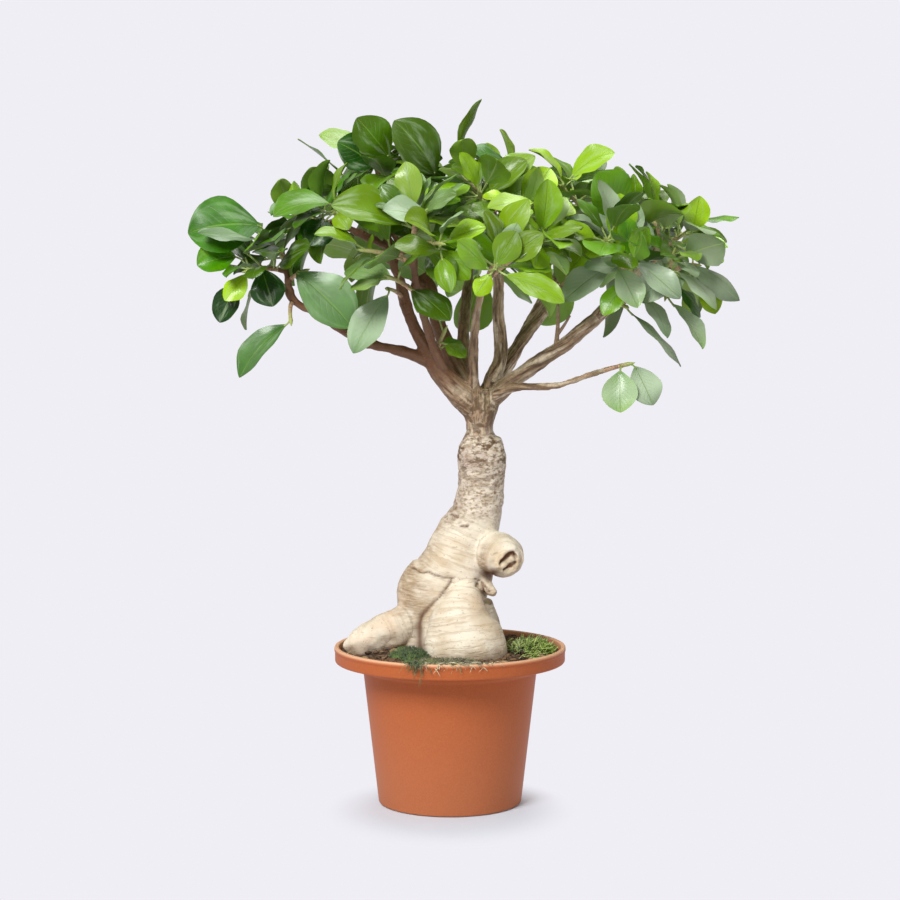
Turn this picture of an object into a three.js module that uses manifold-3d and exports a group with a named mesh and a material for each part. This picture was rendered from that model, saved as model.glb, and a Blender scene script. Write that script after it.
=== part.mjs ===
// A ficus bonsai in a terracotta-coloured plastic pot, in millimetres, +Z up.
// The origin is the middle of the pot's flat underside. +X is to the right and +Y goes
// away from someone who faces the front of the tree.
//
// The tree is one woody piece (swollen roots, trunk and limbs) that stands in plain holes
// in the potting soil, and one leafy shoot for each twig, which starts at the cut face of
// a short spur on a limb. Moss cushions lie on the soil.

import * as THREE from "three";
import { mergeVertices } from "three/addons/utils/BufferGeometryUtils.js";
import Module from "manifold-3d";

const wasm = await Module();
wasm.setup();

// Driving dimensions of the pot and its filling.
const POT = {
  footRadius: 50.4,
  bodyTopRadius: 61.2,
  bodyTop: 94,
  collarUnderside: 100,
  collarRadius: 81,
  lipTop: 111,
  wall: 2.8,
  drainHoles: 4,
  drainRadius: 4.5,
  drainCircle: 30,
  footEdge: 1.2, // rounded corner of the foot
  neck: { out: 1.8, up: 2, under: 2.4 }, // the flare between the body and the collar
  collarEdge: 1.4,
  lipEdge: 1.6,
  lipRound: 1,
  collarDraft: { top: 0.7, bottom: 0.9 }, // how far the collar thickens below its lip
  bodyDraft: 0.6,
  footDraft: 0.4,
  segments: 24, // a multiple of four, and the soil has the same
};
const GAP = 0.3; // between pieces that touch
const SOIL = { radius: 77, rimLevel: 107.5, mound: 5, lump: 0.7, rings: [58, 36] };
const SIDES = {
  trunk: 12,
  front: 12,
  left: 10,
  back: 8,
  stub: 10,
  hollow: 6,
  snag: 6,
  limb: 5,
  twig: 4,
  drain: 8,
  moss: 12,
};

// Leaf build.
const LEAF = {
  widestAt: 1.2, // exponent that sets where the blade is widest
  fullness: 0.72, // exponent that rounds the outline
  stations: [0.18, 0.5, 0.84],
  keel: 0.8, // depth of the blade below its midrib
  stalkRoot: 0.8, // half width of the stalk in its twig
  neck: 0.06, // share of the width that the blade keeps where the petiole ends
  namedFold: 0.09,
};
const TWIG = {
  baseRadius: 1.9,
  tipRadius: 1.2,
  bud: 6, // length of the pointed bud
  runsAlong: 0.35, // share of its reach that the twig first keeps to its limb's way
  spurClear: 1.5, // a spur ends this far clear of the other wood
  spur: { from: 0.06, to: 0.6, step: 0.02 }, // and between these shares of the twig
};
// Grown leaves. Each value pair is the least and the range that draws or age add to it.
const GROWTH = {
  seed: 11,
  leafyEnd: 24, // length of the twig's end that carries leaves
  leafyShare: 0.9, // and the most of the twig that it takes
  firstAt: 0.06, // place of the youngest leaf on that end
  goldenAngle: 137.5,
  turnRange: 0.4, // in radians
  open: { least: 36, range: 52, power: 0.8, loose: 16 }, // degrees off the twig, by age
  size: { least: 0.66, range: 0.42, growing: 1.5, loose: 0.16 }, // share of full length
  slim: { least: 0.54, range: 0.12 }, // width for a length of 1
  bend: { least: 22, range: 34 }, // in degrees
  fold: { least: 0.06, range: 0.1 },
  stalk: { least: 6, range: 4 },
  rollRange: 0.5,
  lift: 0.12, // how strongly a leaf rises
  aside: 0.2, // each try turns a leaf this much further aside, in radians,
  tilt: 0.05, // opens or closes it by this,
  shrink: 0.03, // and shortens it by this share
};
const CROWN = { x: 10, y: 20, lean: 0.7 }; // leaves face up, and away from this line
const CLEAR = { blades: 3.3, sameShoot: 1.5, wood: 2.6, ownTwig: 0.6, edge: 1.0 };

// Swollen roots and trunk: [x, y, z, half width, half depth], from below the soil upwards.
const TRUNK = [
  [2, 0, 68, 24, 22],
  [1, 0, 90, 33, 30],
  [0, 0, 109, 36, 33],
  [-1, 1, 126, 35, 32],
  [-3.5, 1, 140.5, 33.8, 30.3],
  [-2.5, 1, 151, 32.4, 28.5],
  [0.6, 0.5, 156.5, 28.2, 26.8],
  [3.6, 0, 163, 27.4, 25.8],
  [7, 0, 172, 25.2, 24],
  [10.4, 0, 182.5, 23.4, 22],
  [14.4, 0, 193, 21, 19.5],
  [18.8, 0, 203.5, 18.1, 17.5],
  [21, 0, 214, 16.9, 16.5],
  [22.3, 0, 228, 16.2, 16],
  [22.4, 0, 238.5, 17.1, 16.5],
  [21.9, 0, 249, 16.8, 16],
  [22.1, 0, 253.5, 15.2, 14],
  [21.3, 0, 257.5, 10.4, 10.5],
  [20.8, 0, 266.5, 9.6, 10],
  [21.2, 0, 277, 12, 11.5],
  [21.2, 1, 285, 14, 12],
  [21.5, 1, 292, 11, 9],
];
const TUBERS = {
  front: [
    [10, -12, 74, 14, 11],
    [11, -22, 88, 22, 16],
    [11, -31, 102, 28, 20],
    [10.5, -34, 112.5, 29.4, 21.5],
    [9.4, -33, 123, 27.6, 20],
    [8, -31, 133.5, 22.7, 17],
    [9, -27, 144, 16.5, 13],
    [11, -22, 153, 10, 9],
    [12, -17, 159, 4.5, 4.5],
  ],
  left: [
    [-8, -6, 140, 13, 13],
    [-22, -8, 131, 14.5, 14],
    [-36, -10, 124.8, 14.6, 14.5],
    [-49, -12, 119.4, 14.2, 14],
    [-61, -13, 114.4, 12, 12],
    [-69, -13, 111.5, 8, 8],
    [-72.5, -13, 108, 4, 4],
  ],
  backLeft: [
    [-6, 8, 142, 14, 14],
    [-19, 23, 130, 14.5, 14.5],
    [-29, 35, 116, 12, 12],
    [-33, 39, 101, 6.5, 6.5],
    [-32, 37, 88, 4, 4],
  ],
  backRight: [
    [8, 10, 140, 13, 13],
    [20, 26, 128, 13.5, 13.5],
    [27, 36, 114, 11, 11],
    [30, 39, 100, 6.5, 6.5],
    [29, 37, 86, 4, 4],
  ],
};
// Sawn root stub on the right, the hollow in its end, and a little broken root below it.
const STUB = [
  [20, -2, 180.5, 13, 13],
  [28, -11, 179.5, 14.2, 14.2],
  [34.5, -20, 178, 14.8, 14.8],
  [37.8, -29, 176, 13.6, 13.6],
  [38.8, -34.5, 174.8, 10, 10],
];
const STUB_HOLLOW = [
  [39.9, -39.5, 173.6, 8.4, 3.8],
  [38.4, -33, 175.1, 6.6, 3],
  [36.4, -26, 176.6, 2.8, 1.6],
];
const SNAG = [
  [20, -14, 158, 5, 5],
  [27, -19, 154, 4.4, 4.4],
  [32, -22, 150, 3, 3],
];

// Limbs: [x, y, z, radius] from the fork outwards. Shoots name them.
const LIMBS = {
  leftLimb: [[18.5, 0, 278.5, 10.2], [5, -5, 291, 9.4], [-5, -9, 302, 8], [-12, -12, 310.5, 6.4]],
  leftBough: [
    [-8, -10, 308, 5], [-30, -16, 318, 4.2], [-52, -20, 323, 3.7], [-64, -22, 328, 3.4],
    [-80, -24, 338, 3.2], [-98, -25, 348, 3], [-108, -26, 355, 2.8], [-111, -24, 367, 2.5],
    [-113, -21, 380, 2.2],
  ],
  leftRiser: [
    [-8, -11, 306, 5.4], [-22, -14, 330, 4.7], [-29, -16, 347, 4.2], [-34, -14, 365, 3.7],
    [-42, -8, 392, 3.1], [-48, -2, 420, 2.6], [-50, 4, 440, 2.2],
  ],
  leftShelf: [[-41, -9, 388, 2.8], [-62, -6, 400, 2.5], [-84, -3, 407, 2.2]],
  leftFront: [
    [-2, -9, 300, 4], [-11, -24, 322, 3.3], [-17, -37, 340, 2.9], [-22, -48, 358, 2.6],
    [-24, -58, 378, 2.4], [-24, -66, 396, 2.1],
  ],
  backLeft: [
    [14, 4, 284, 8], [2, 14, 312, 6.6], [-8, 24, 336, 5.6], [-14, 32, 361, 4.6],
    [-22, 42, 378, 3.8], [-34, 56, 392, 3], [-44, 68, 402, 2.4],
  ],
  backShelf: [[-14, 32, 359, 3.6], [-40, 36, 380, 3], [-66, 38, 395, 2.6], [-88, 36, 402, 2.2]],
  centreStem: [
    [24, 1, 283, 7.2], [28.5, 2, 296, 6], [35, 4, 311, 5.2], [35.5, 6, 326, 4.7],
    [33.5, 7, 345, 4.3], [34, 6, 362, 4], [32.5, 3, 380, 3.6], [30, 0, 398, 3.1],
    [26, -2, 416, 2.6],
  ],
  centreFront: [
    [20, -3, 284, 5], [16, -7, 296, 4.2], [16, -13, 314, 3.5], [17, -23, 333, 3.1],
    [19, -38, 350, 2.8], [23, -54, 364, 2.5], [27, -68, 374, 2.2],
  ],
  rightLimb: [
    [26, -1, 283, 7.6], [45, -6, 298.5, 5.8], [62, -12, 311.5, 5.4], [80, -18, 324, 5.2],
    [98, -24, 340, 5], [110, -27, 352, 4.4], [122, -28, 365, 3.6], [134, -26, 378, 3],
    [143, -22, 391, 2.4],
  ],
  rightShelf: [
    [100, -25, 342, 4], [113, -32, 351, 3.3], [128, -38, 360, 2.9], [144, -40, 368, 2.5],
    [156, -34, 376, 2.2],
  ],
  rightBack: [
    [27, 5, 286, 6], [35, 13, 300, 5.4], [44, 22, 314, 5], [54, 31, 329, 4.5], [66, 38, 344, 4.1],
    [76, 43, 356, 3.7], [88, 48, 370, 3.3], [101, 53, 386, 2.8], [110, 56, 402, 2.3],
  ],
  rightLow: [
    [28, -4, 286, 4.4], [44, -13, 293.2, 2.9], [57, -18, 294.2, 2.5], [74, -27, 295.6, 2.2],
    [90, -34, 301.5, 2], [106, -40, 307, 1.8],
  ],
  backMid: [
    [19, 7, 284, 6.4], [14, 13, 296, 5.8], [10, 24, 309, 5.3], [10, 46, 332, 4.5],
    [12, 70, 356, 3.8], [14, 90, 370, 3.1], [12, 106, 384, 2.4],
  ],
  backRight: [
    [25, 8, 284, 6], [32, 14, 295, 5.5], [42, 30, 308, 4.9], [52, 50, 326, 4.2],
    [62, 72, 344, 3.6], [72, 92, 360, 3], [80, 108, 373, 2.4],
  ],
};

// Shoots: [name, limb, place along it, twig end, leaves, blade length].
const SHOOTS = [
  ["farLeftTip", "leftBough", 1, [-128, -16, 392], 4, 44],
  ["farLeftLow", "leftBough", 0.9, [-137, -30, 374], 3, 36],
  ["leftHanging", "leftBough", 0.7, [-108, -43, 341], 0, 0],
  ["leftShiny", "leftBough", 0.84, [-99, -36, 374], 0, 0],
  ["leftShelfTip", "leftShelf", 1, [-98, 2, 410], 5, 38],
  ["leftShelfMid", "leftShelf", 0.6, [-78, -26, 415], 5, 40],
  ["leftPointed", "leftRiser", 0.78, [-68, 20, 430], 5, 42],
  ["topLeftOut", "leftRiser", 1, [-50, 2, 450], 5, 46],
  ["topLeftIn", "leftRiser", 0.84, [-18, -10, 444], 5, 46],
  ["leftRiserLow", "leftRiser", 0.36, [-42, -42, 362], 0, 0],
  ["midLeft", "leftFront", 0.75, [-58, -52, 388], 6, 46],
  ["midLeftLow", "leftFront", 0.55, [-40, -68, 370], 4, 38],
  ["frontLeft", "leftFront", 1, [-22, -76, 412], 6, 46],
  ["frontLeftLow", "leftFront", 0.85, [-6, -92, 392], 5, 42],
  ["upright", "centreStem", 1, [6, -2, 440], 5, 42],
  ["midTop", "centreStem", 0.85, [20, -38, 426], 6, 42],
  ["bright", "centreStem", 0.7, [54, -46, 416], 6, 42],
  ["frontRosette", "centreFront", 1, [30, -94, 376], 2, 34],
  ["frontRight", "centreFront", 0.8, [64, -66, 398], 6, 42],
  ["rightTopIn", "rightBack", 0.86, [76, -4, 432], 6, 42],
  ["rightTop", "rightLimb", 0.8, [108, -30, 422], 6, 44],
  ["rightTopOut", "rightLimb", 1, [138, -18, 412], 6, 42],
  ["farRight", "rightLimb", 0.88, [162, -14, 400], 4, 38],
  ["frontRightOut", "rightLimb", 0.66, [104, -74, 394], 5, 40],
  ["silver", "rightShelf", 0.3, [120, -66, 378], 3, 36],
  ["rightShelfMid", "rightShelf", 0.65, [150, -60, 386], 5, 38],
  ["farRightLow", "rightShelf", 1, [168, -26, 378], 4, 38],
  ["droopOut", "rightShelf", 0.8, [146, -50, 358], 1, 32],
  ["droopIn", "rightShelf", 0.2, [119, -47, 350], 0, 0],
  ["lowPair", "rightLow", 1, [120, -46, 311], 0, 0],
  ["backShelfMid", "backShelf", 0.7, [-82, 62, 422], 5, 42],
  ["backShelfTip", "backShelf", 1, [-114, 38, 408], 5, 40],
  ["backLeftTip", "backLeft", 1, [-56, 86, 404], 6, 46],
  ["backLeftTop", "backLeft", 0.8, [-22, 52, 432], 6, 46],
  ["backLeftLow", "backLeft", 0.62, [-62, 118, 380], 5, 46],
  ["backMidTip", "backMid", 1, [-10, 128, 396], 6, 46],
  ["backMidTop", "backMid", 0.8, [32, 92, 410], 6, 46],
  ["backMidLow", "backMid", 0.85, [32, 146, 376], 5, 44],
  ["centreBack", "centreStem", 0.78, [28, 42, 434], 6, 44],
  ["centreRight", "centreStem", 0.9, [48, 8, 438], 5, 42],
  ["rightBackTip", "rightBack", 1, [96, 66, 416], 6, 46],
  ["rightBackOut", "rightBack", 0.72, [134, 80, 388], 5, 44],
  ["rightBackTop", "rightBack", 0.92, [120, 32, 412], 5, 42],
  ["farRightBack", "rightLimb", 0.78, [160, 40, 386], 5, 42],
  ["backRightTip", "backRight", 1, [88, 118, 394], 6, 46],
  ["backRightLow", "backRight", 0.72, [104, 132, 378], 5, 42],
  ["innerLow", "leftLimb", 0.75, [-4, -22, 332], 3, 22],
];

// Leaves that stand out in the outline: [shoot, blade base, blade tip, way the upper face
// looks, width, bend in degrees].
const NAMED_LEAVES = [
  ["leftHanging", [-111, -42, 338], [-143, -46, 302], [-0.5, -0.8, 0.5], 25, 45],
  ["farLeftTip", [-130, -22, 405], [-179, -28, 400], [-0.15, -0.85, 0.5], 46, 55],
  ["farLeftTip", [-132, -28, 396], [-170, -48, 400], [0.0, -0.45, 0.9], 24, 20],
  ["farLeftLow", [-146, -30, 384], [-172, -36, 378], [-0.3, -0.85, 0.4], 24, 30],
  ["farLeftLow", [-144, -34, 367], [-157, -36, 339], [-0.3, -0.9, 0.2], 19, 30],
  ["farLeftLow", [-138, -40, 372], [-152, -48, 354], [-0.2, -0.9, 0.3], 17, 20],
  ["farLeftLow", [-128, -36, 376], [-120, -44, 350], [0.1, -0.9, 0.3], 24, 20],
  ["leftShiny", [-104, -42, 373], [-66, -50, 336], [0.2, -0.85, 0.45], 36, 35],
  ["leftShelfMid", [-82, -32, 420], [-120, -38, 411], [-0.15, -0.6, 0.8], 30, 50],
  ["leftShelfMid", [-84, -34, 409], [-95, -46, 391], [0, -0.9, 0.35], 24, 30],
  ["leftRiserLow", [-42, -52, 358], [-65, -60, 319], [-0.35, -0.85, 0.35], 28, 30],
  ["leftPointed", [-74, 16, 440], [-106, 12, 466], [0.35, -0.1, 0.9], 15, 15],
  ["topLeftOut", [-52, -8, 446], [-77, -18, 462], [-0.1, -0.85, 0.5], 30, 45],
  ["topLeftOut", [-42, -4, 452], [-64, -12, 479], [-0.2, -0.85, 0.45], 30, 50],
  ["topLeftIn", [-10, -16, 440], [-38, -29, 476], [0, -0.85, 0.5], 36, 62],
  ["upright", [5, -2, 448], [22, -4, 492], [0.75, -0.35, -0.3], 13, -30],
  ["centreRight", [40, 2, 447], [13, -8, 458], [0, -0.6, 0.8], 20, 30],
  ["frontLeft", [-14, -82, 406], [-44, -96, 414], [0.1, -0.75, 0.65], 27, 45],
  ["frontLeftLow", [-8, -98, 388], [-36, -112, 390], [0.0, -0.7, 0.7], 23, 55],
  ["frontRosette", [25, -100, 375], [5, -116, 394], [0.3, -0.8, 0.5], 18, 20],
  ["frontRosette", [30, -101, 378], [43, -112, 400], [0.1, -0.9, 0.4], 20, 15],
  ["frontRosette", [36, -100, 372], [74, -112, 354], [0.25, -0.8, 0.55], 20, 25],
  ["bright", [56, -54, 420], [25, -68, 416], [0.0, -0.7, 0.7], 19, 25],
  ["rightTop", [116, -38, 412], [98, -52, 440], [-0.1, -0.85, 0.5], 34, 45],
  ["rightTopIn", [84, -8, 439], [113, -16, 455], [-0.2, -0.7, 0.7], 24, 50],
  ["farRight", [169, -16, 408], [199, -14, 411], [0.1, -0.15, 0.95], 14, 20],
  ["farRight", [166, -24, 401], [170, -32, 425], [0.1, -0.95, 0.15], 18, 20],
  ["farRightLow", [163, -32, 378], [197, -38, 354], [0.3, -0.4, 0.85], 30, 55],
  ["farRightLow", [172, -36, 366], [180, -42, 345], [0.2, -0.9, 0.2], 16, 15],
  ["silver", [112, -72, 376], [124, -84, 350], [0.1, -0.9, 0.35], 20, 20],
  ["silver", [124, -72, 380], [152, -84, 356], [0.2, -0.85, 0.45], 19, 25],
  ["droopIn", [122, -50, 346], [156, -54, 310], [0.6, -0.35, 0.6], 17, 25],
  ["droopOut", [150, -54, 352], [170, -60, 322], [0.55, -0.5, 0.55], 18, 30],
  ["lowPair", [115, -50, 307], [115, -58, 279], [-0.2, -0.95, 0.1], 25, 20],
  ["lowPair", [125, -50, 310], [137, -58, 284], [0.2, -0.95, 0.15], 23, 25],
];

// Moss cushions on the soil: [name, x, y, half length, half width, turn in degrees, height].
const MOSS_REST = 0.9; // height of a cushion's underside over the soil
const MOSS = [
  ["mossRight", 57, -13, 18, 13, 65, 7],
  ["mossLeft", -27, -45, 15, 9, -35, 7],
  ["mossFront", -1, -65, 24, 7.5, 0, 6],
];

// Vectors are plain [x, y, z] arrays.
const add = (a, b, k = 1) => [a[0] + b[0] * k, a[1] + b[1] * k, a[2] + b[2] * k];
const sub = (a, b) => [a[0] - b[0], a[1] - b[1], a[2] - b[2]];
const dot = (a, b) => a[0] * b[0] + a[1] * b[1] + a[2] * b[2];
const cross = (a, b) => [
  a[1] * b[2] - a[2] * b[1],
  a[2] * b[0] - a[0] * b[2],
  a[0] * b[1] - a[1] * b[0],
];
const scale = (a, k) => [a[0] * k, a[1] * k, a[2] * k];
const unit = (a) => scale(a, 1 / Math.sqrt(dot(a, a)));
const distance = (a, b) => Math.sqrt(dot(sub(a, b), sub(a, b)));
const radians = (degrees) => (degrees * Math.PI) / 180;

// A seeded stream of draws between 0 and 1.
const STREAM = { seedStep: 7919, factor: 16807, modulus: 2147483647 };
function stream(seed) {
  let state = (seed * STREAM.seedStep) % STREAM.modulus;
  const draw = () => {
    state = (state * STREAM.factor) % STREAM.modulus;
    return state / STREAM.modulus;
  };
  draw();
  return draw;
}

// A smooth curve through the rows of a table, at t from 0 to 1: every column is carried
// along, so a radius in the last column tapers with the path.
function along(rows, t) {
  const spans = rows.length - 1;
  const at = Math.min(Math.max(t, 0), 1) * spans;
  const i = Math.min(Math.floor(at), spans - 1);
  const f = at - i;
  const b = rows[i];
  const c = rows[i + 1];
  const a = rows[Math.max(i - 1, 0)];
  const d = rows[Math.min(i + 2, spans)];
  return b.map(
    (p, k) =>
      0.5 *
      (2 * p +
        (c[k] - a[k]) * f +
        (2 * a[k] - 5 * p + 4 * c[k] - d[k]) * f * f +
        (3 * p - a[k] - 3 * c[k] + d[k]) * f * f * f),
  );
}

// A closed surface through rings of points. A ring of one point is a pole.
function skin(rings) {
  const points = rings.flat();
  const faces = [];
  let start = 0;
  for (let k = 0; k + 1 < rings.length; k++) {
    const lower = rings[k].length;
    const upper = rings[k + 1].length;
    const n = Math.max(lower, upper);
    const next = start + lower;
    for (let i = 0; i < n; i++) {
      const j = (i + 1) % n;
      const a = start + (lower > 1 ? i : 0);
      const b = start + (lower > 1 ? j : 0);
      const c = next + (upper > 1 ? j : 0);
      const d = next + (upper > 1 ? i : 0);
      if (lower > 1) faces.push(a, b, c);
      if (upper > 1) faces.push(a, c, d);
    }
    start = next;
  }
  const cap = (first, n, turned) => {
    for (let i = 1; i + 1 < n; i++) {
      faces.push(first, first + (turned ? i + 1 : i), first + (turned ? i : i + 1));
    }
  };
  cap(0, rings[0].length, true);
  cap(start, rings[rings.length - 1].length, false);
  const geometry = new THREE.BufferGeometry();
  geometry.setAttribute("position", new THREE.Float32BufferAttribute(points.flat(), 3));
  geometry.setIndex(faces);
  return geometry;
}

// A tube with elliptical rings square to its path. Rows are [x, y, z, half width, half
// depth], and a row with no width ends the tube in a point; `aside` is the way that the
// half width points where the path allows it. `facing` gives the way that the first and
// the last ring face, where it isn't the path's own.
function tube(rows, sides, aside, grow = 0, facing = {}) {
  const last = rows.length - 1;
  const rings = rows.map((row, i) => {
    if (row[3] === 0) return [row.slice(0, 3)];
    const chord = unit(sub(rows[Math.min(i + 1, last)], rows[Math.max(i - 1, 0)]));
    const tangent = (i === 0 && facing.first) || (i === last && facing.last) || chord;
    const deep = unit(cross(tangent, aside));
    const wide = unit(cross(deep, tangent));
    return Array.from({ length: sides }, (_, k) => {
      const angle = (2 * Math.PI * k) / sides;
      const out = add(row, wide, Math.cos(angle) * (row[3] + grow));
      return add(out, deep, Math.sin(angle) * (row[4] + grow));
    });
  });
  return skin(rings);
}

// three.js geometry to a manifold-3d solid, and back to a named mesh.
function solid(geometry) {
  const bare = geometry.index ? geometry.clone() : geometry;
  bare.deleteAttribute("normal");
  bare.deleteAttribute("uv");
  const merged = mergeVertices(bare, 1e-4);
  const mesh = {
    numProp: 3,
    vertProperties: merged.attributes.position.array,
    triVerts: new Uint32Array(merged.index.array),
  };
  const made = new wasm.Manifold(new wasm.Mesh(mesh));
  if (made.volume() > 0) return made;
  for (let i = 0; i < mesh.triVerts.length; i += 3) {
    [mesh.triVerts[i + 1], mesh.triVerts[i + 2]] = [mesh.triVerts[i + 2], mesh.triVerts[i + 1]];
  }
  return new wasm.Manifold(new wasm.Mesh(mesh));
}
const join = (solids) => solids.reduce((whole, one) => whole.add(one));
function named(name, made, material) {
  const mesh = made.getMesh();
  const geometry = new THREE.BufferGeometry();
  geometry.setAttribute("position", new THREE.Float32BufferAttribute(mesh.vertProperties, 3));
  geometry.setIndex(Array.from(mesh.triVerts));
  geometry.computeVertexNormals();
  const shown = new THREE.Mesh(geometry, material);
  shown.name = name;
  return shown;
}

// Materials.
const paint = (color, roughness) =>
  new THREE.MeshStandardMaterial({ color, roughness, metalness: 0 });
const MATERIALS = {
  pot: paint(0xb8663f, 0.55),
  soil: paint(0x4a3a2c, 0.95),
  bark: paint(0xd8c8a6, 0.75),
  leaf: paint(0x3f7d22, 0.35),
  moss: paint(0x6f9a32, 0.9),
};

// The pot: a tapered body under a wide overhanging collar, with drain holes in its floor.
function pot() {
  const { footRadius, bodyTopRadius, bodyTop, collarUnderside, collarRadius, lipTop, wall } = POT;
  const { footEdge, neck, collarEdge, lipEdge, lipRound, collarDraft } = POT;
  const dishFloor = collarUnderside + wall;
  const outline = [
    [0, 0],
    [footRadius - footEdge, 0],
    [footRadius, footEdge],
    [bodyTopRadius, bodyTop],
    [bodyTopRadius + neck.out, bodyTop + neck.up],
    [bodyTopRadius + neck.under, collarUnderside],
    [collarRadius - collarEdge, collarUnderside],
    [collarRadius, collarUnderside + collarEdge],
    [collarRadius, lipTop - lipEdge],
    [collarRadius - lipRound, lipTop],
    [collarRadius - wall, lipTop],
    [collarRadius - wall - collarDraft.top, lipTop - lipEdge],
    [collarRadius - wall - collarDraft.bottom, dishFloor],
    [bodyTopRadius - POT.bodyDraft, dishFloor],
    [bodyTopRadius - wall, bodyTop],
    [footRadius - wall + POT.footDraft, wall],
    [0, wall],
  ];
  const body = solid(
    new THREE.LatheGeometry(outline.map(([r, z]) => new THREE.Vector2(r, z)), POT.segments)
      .rotateX(Math.PI / 2),
  );
  const drains = Array.from({ length: POT.drainHoles }, (_, k) => {
    const angle = (2 * Math.PI * k) / POT.drainHoles;
    return solid(
      new THREE.CylinderGeometry(POT.drainRadius, POT.drainRadius, 3 * wall, SIDES.drain)
        .rotateX(Math.PI / 2)
        .translate(POT.drainCircle * Math.cos(angle), POT.drainCircle * Math.sin(angle), 0),
    );
  });
  return body.subtract(join(drains));
}

// The soil's surface: a low mound with soft lumps.
function soilTop(x, y) {
  const share = (x * x + y * y) / (SOIL.radius * SOIL.radius);
  const lumps = SOIL.lump * Math.sin(x * 0.19 + 1) * Math.sin(y * 0.17 + 2);
  return SOIL.rimLevel + SOIL.mound * (1 - share) + lumps * (1 - share * 0.6);
}

// The soil fills the pot, less the holes that the roots stand in.
function soil(rootsGrown) {
  const ring = (radius, height) =>
    Array.from({ length: POT.segments }, (_, k) => {
      const angle = (2 * Math.PI * k) / POT.segments;
      const x = radius * Math.cos(angle);
      const y = radius * Math.sin(angle);
      return [x, y, height ?? soilTop(x, y)];
    });
  const dishFloor = POT.collarUnderside + POT.wall + GAP;
  const inner = POT.collarRadius - POT.wall - POT.collarDraft.bottom - 3 * GAP;
  const throat = POT.bodyTopRadius - POT.wall - GAP;
  const made = skin([
    [[0, 0, POT.wall + GAP]],
    ring(POT.footRadius - POT.wall - GAP, POT.wall + GAP),
    ring(throat, POT.bodyTop),
    ring(POT.bodyTopRadius - POT.bodyDraft - 3 * GAP, dishFloor),
    ring(inner, dishFloor),
    ring(inner),
    ...SOIL.rings.map((radius) => ring(radius)),
    [[0, 0, soilTop(0, 0)]],
  ]);
  return solid(made).subtract(rootsGrown);
}

// Roots, trunk, stub and limbs, as separate solids that get joined. `grow` fattens them
// for the holes that they stand in.
function roots(grow) {
  const right = [1, 0, 0];
  const back = [0.3, 1, 0];
  return [
    solid(tube(TRUNK, SIDES.trunk, right, grow)),
    solid(tube(TUBERS.front, SIDES.front, right, grow)),
    solid(tube(TUBERS.left, SIDES.left, back, grow)),
    solid(tube(TUBERS.backLeft, SIDES.back, back, grow)),
    solid(tube(TUBERS.backRight, SIDES.back, back, grow)),
  ];
}
const limbRow = (row) => [...row, row[3]];
const limbAside = [0.31, 0.93, 0.17];
function limb(rows) {
  return solid(tube(rows.map(limbRow), SIDES.limb, limbAside));
}

// A shoot's twig is a curve that leaves its limb along the limb and turns to the twig's end.
function twigCurve([, limbName, place, end]) {
  const rows = LIMBS[limbName];
  const start = along(rows, place);
  const ahead =
    place === 1
      ? unit(sub(rows[rows.length - 1], rows[rows.length - 2]))
      : unit(sub(along(rows, place + 0.02), along(rows, place - 0.02)));
  const reach = distance(start, end);
  const bend = add(start, ahead, reach * TWIG.runsAlong);
  const tipRadius = TWIG.tipRadius;
  const baseRadius = Math.min(TWIG.baseRadius, start[3]);
  const at = (t) => {
    const p = add(add(scale(start, (1 - t) * (1 - t)), bend, 2 * t * (1 - t)), end, t * t);
    return [p[0], p[1], p[2], baseRadius + (tipRadius - baseRadius) * t];
  };
  const facing = (t) => (t < 0.01 ? ahead : unit(sub(at(t + 0.01), at(t - 0.01))));
  return { at, facing, reach, place };
}

// Where the twig has come clear of the wood around it: its spur ends there.
function spurEnd(curve, segments) {
  if (curve.place === 1) return 0;
  const { from, to, step } = TWIG.spur;
  for (let t = from; t < to; t += step) {
    const p = curve.at(t);
    const clear = segments.every(
      ([a, b, radius]) => toSegment(p, a, b) > radius + p[3] + TWIG.spurClear,
    );
    if (clear) return t;
  }
  return to;
}
function toSegment(p, a, b) {
  const run = sub(b, a);
  const share = Math.min(Math.max(dot(sub(p, a), run) / dot(run, run), 0), 1);
  return distance(p, add(a, run, share));
}
function segmentsOf(rows) {
  return rows.slice(1).map((row, i) => [rows[i], row, Math.max(rows[i][3], row[3])]);
}

// Half of the blade's outline at u from base to tip, for a width of 1.
function outline(u) {
  if (u <= 0 || u >= 1) return 0;
  return 0.5 * Math.pow(Math.sin(Math.PI * Math.pow(u, LEAF.widestAt)), LEAF.fullness);
}
// A blade is a sheet bent on a circle along its midrib and folded a little on it. u runs
// from base to tip, v across from -1 to 1, and h is the height above the sheet.
function bladePoint(leaf, u, v, h = 0) {
  const turn = leaf.bend * u;
  const half = v * leaf.width * outline(u);
  const radius = leaf.length / leaf.bend;
  const lift = leaf.fold * Math.abs(half) + h;
  const forward = Math.sin(turn) * (radius + lift);
  const upward = Math.cos(turn) * (radius + lift) - radius;
  return add(add(add(leaf.base, leaf.along, forward), leaf.up, upward), leaf.side, half);
}
// The other way round: how far a point lies above the blade's sheet, and where on it.
function overBlade(leaf, p) {
  const q = sub(p, leaf.base);
  const radius = leaf.length / leaf.bend;
  const y = dot(q, leaf.side);
  const x = dot(q, leaf.along) * Math.sign(radius);
  const z = (dot(q, leaf.up) + radius) * Math.sign(radius);
  const turn = Math.atan2(x, z);
  const height = (Math.sqrt(x * x + z * z) - Math.abs(radius)) * Math.sign(radius);
  const u = turn / Math.abs(leaf.bend);
  return { u, y, height: height - leaf.fold * Math.abs(y) };
}

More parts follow.
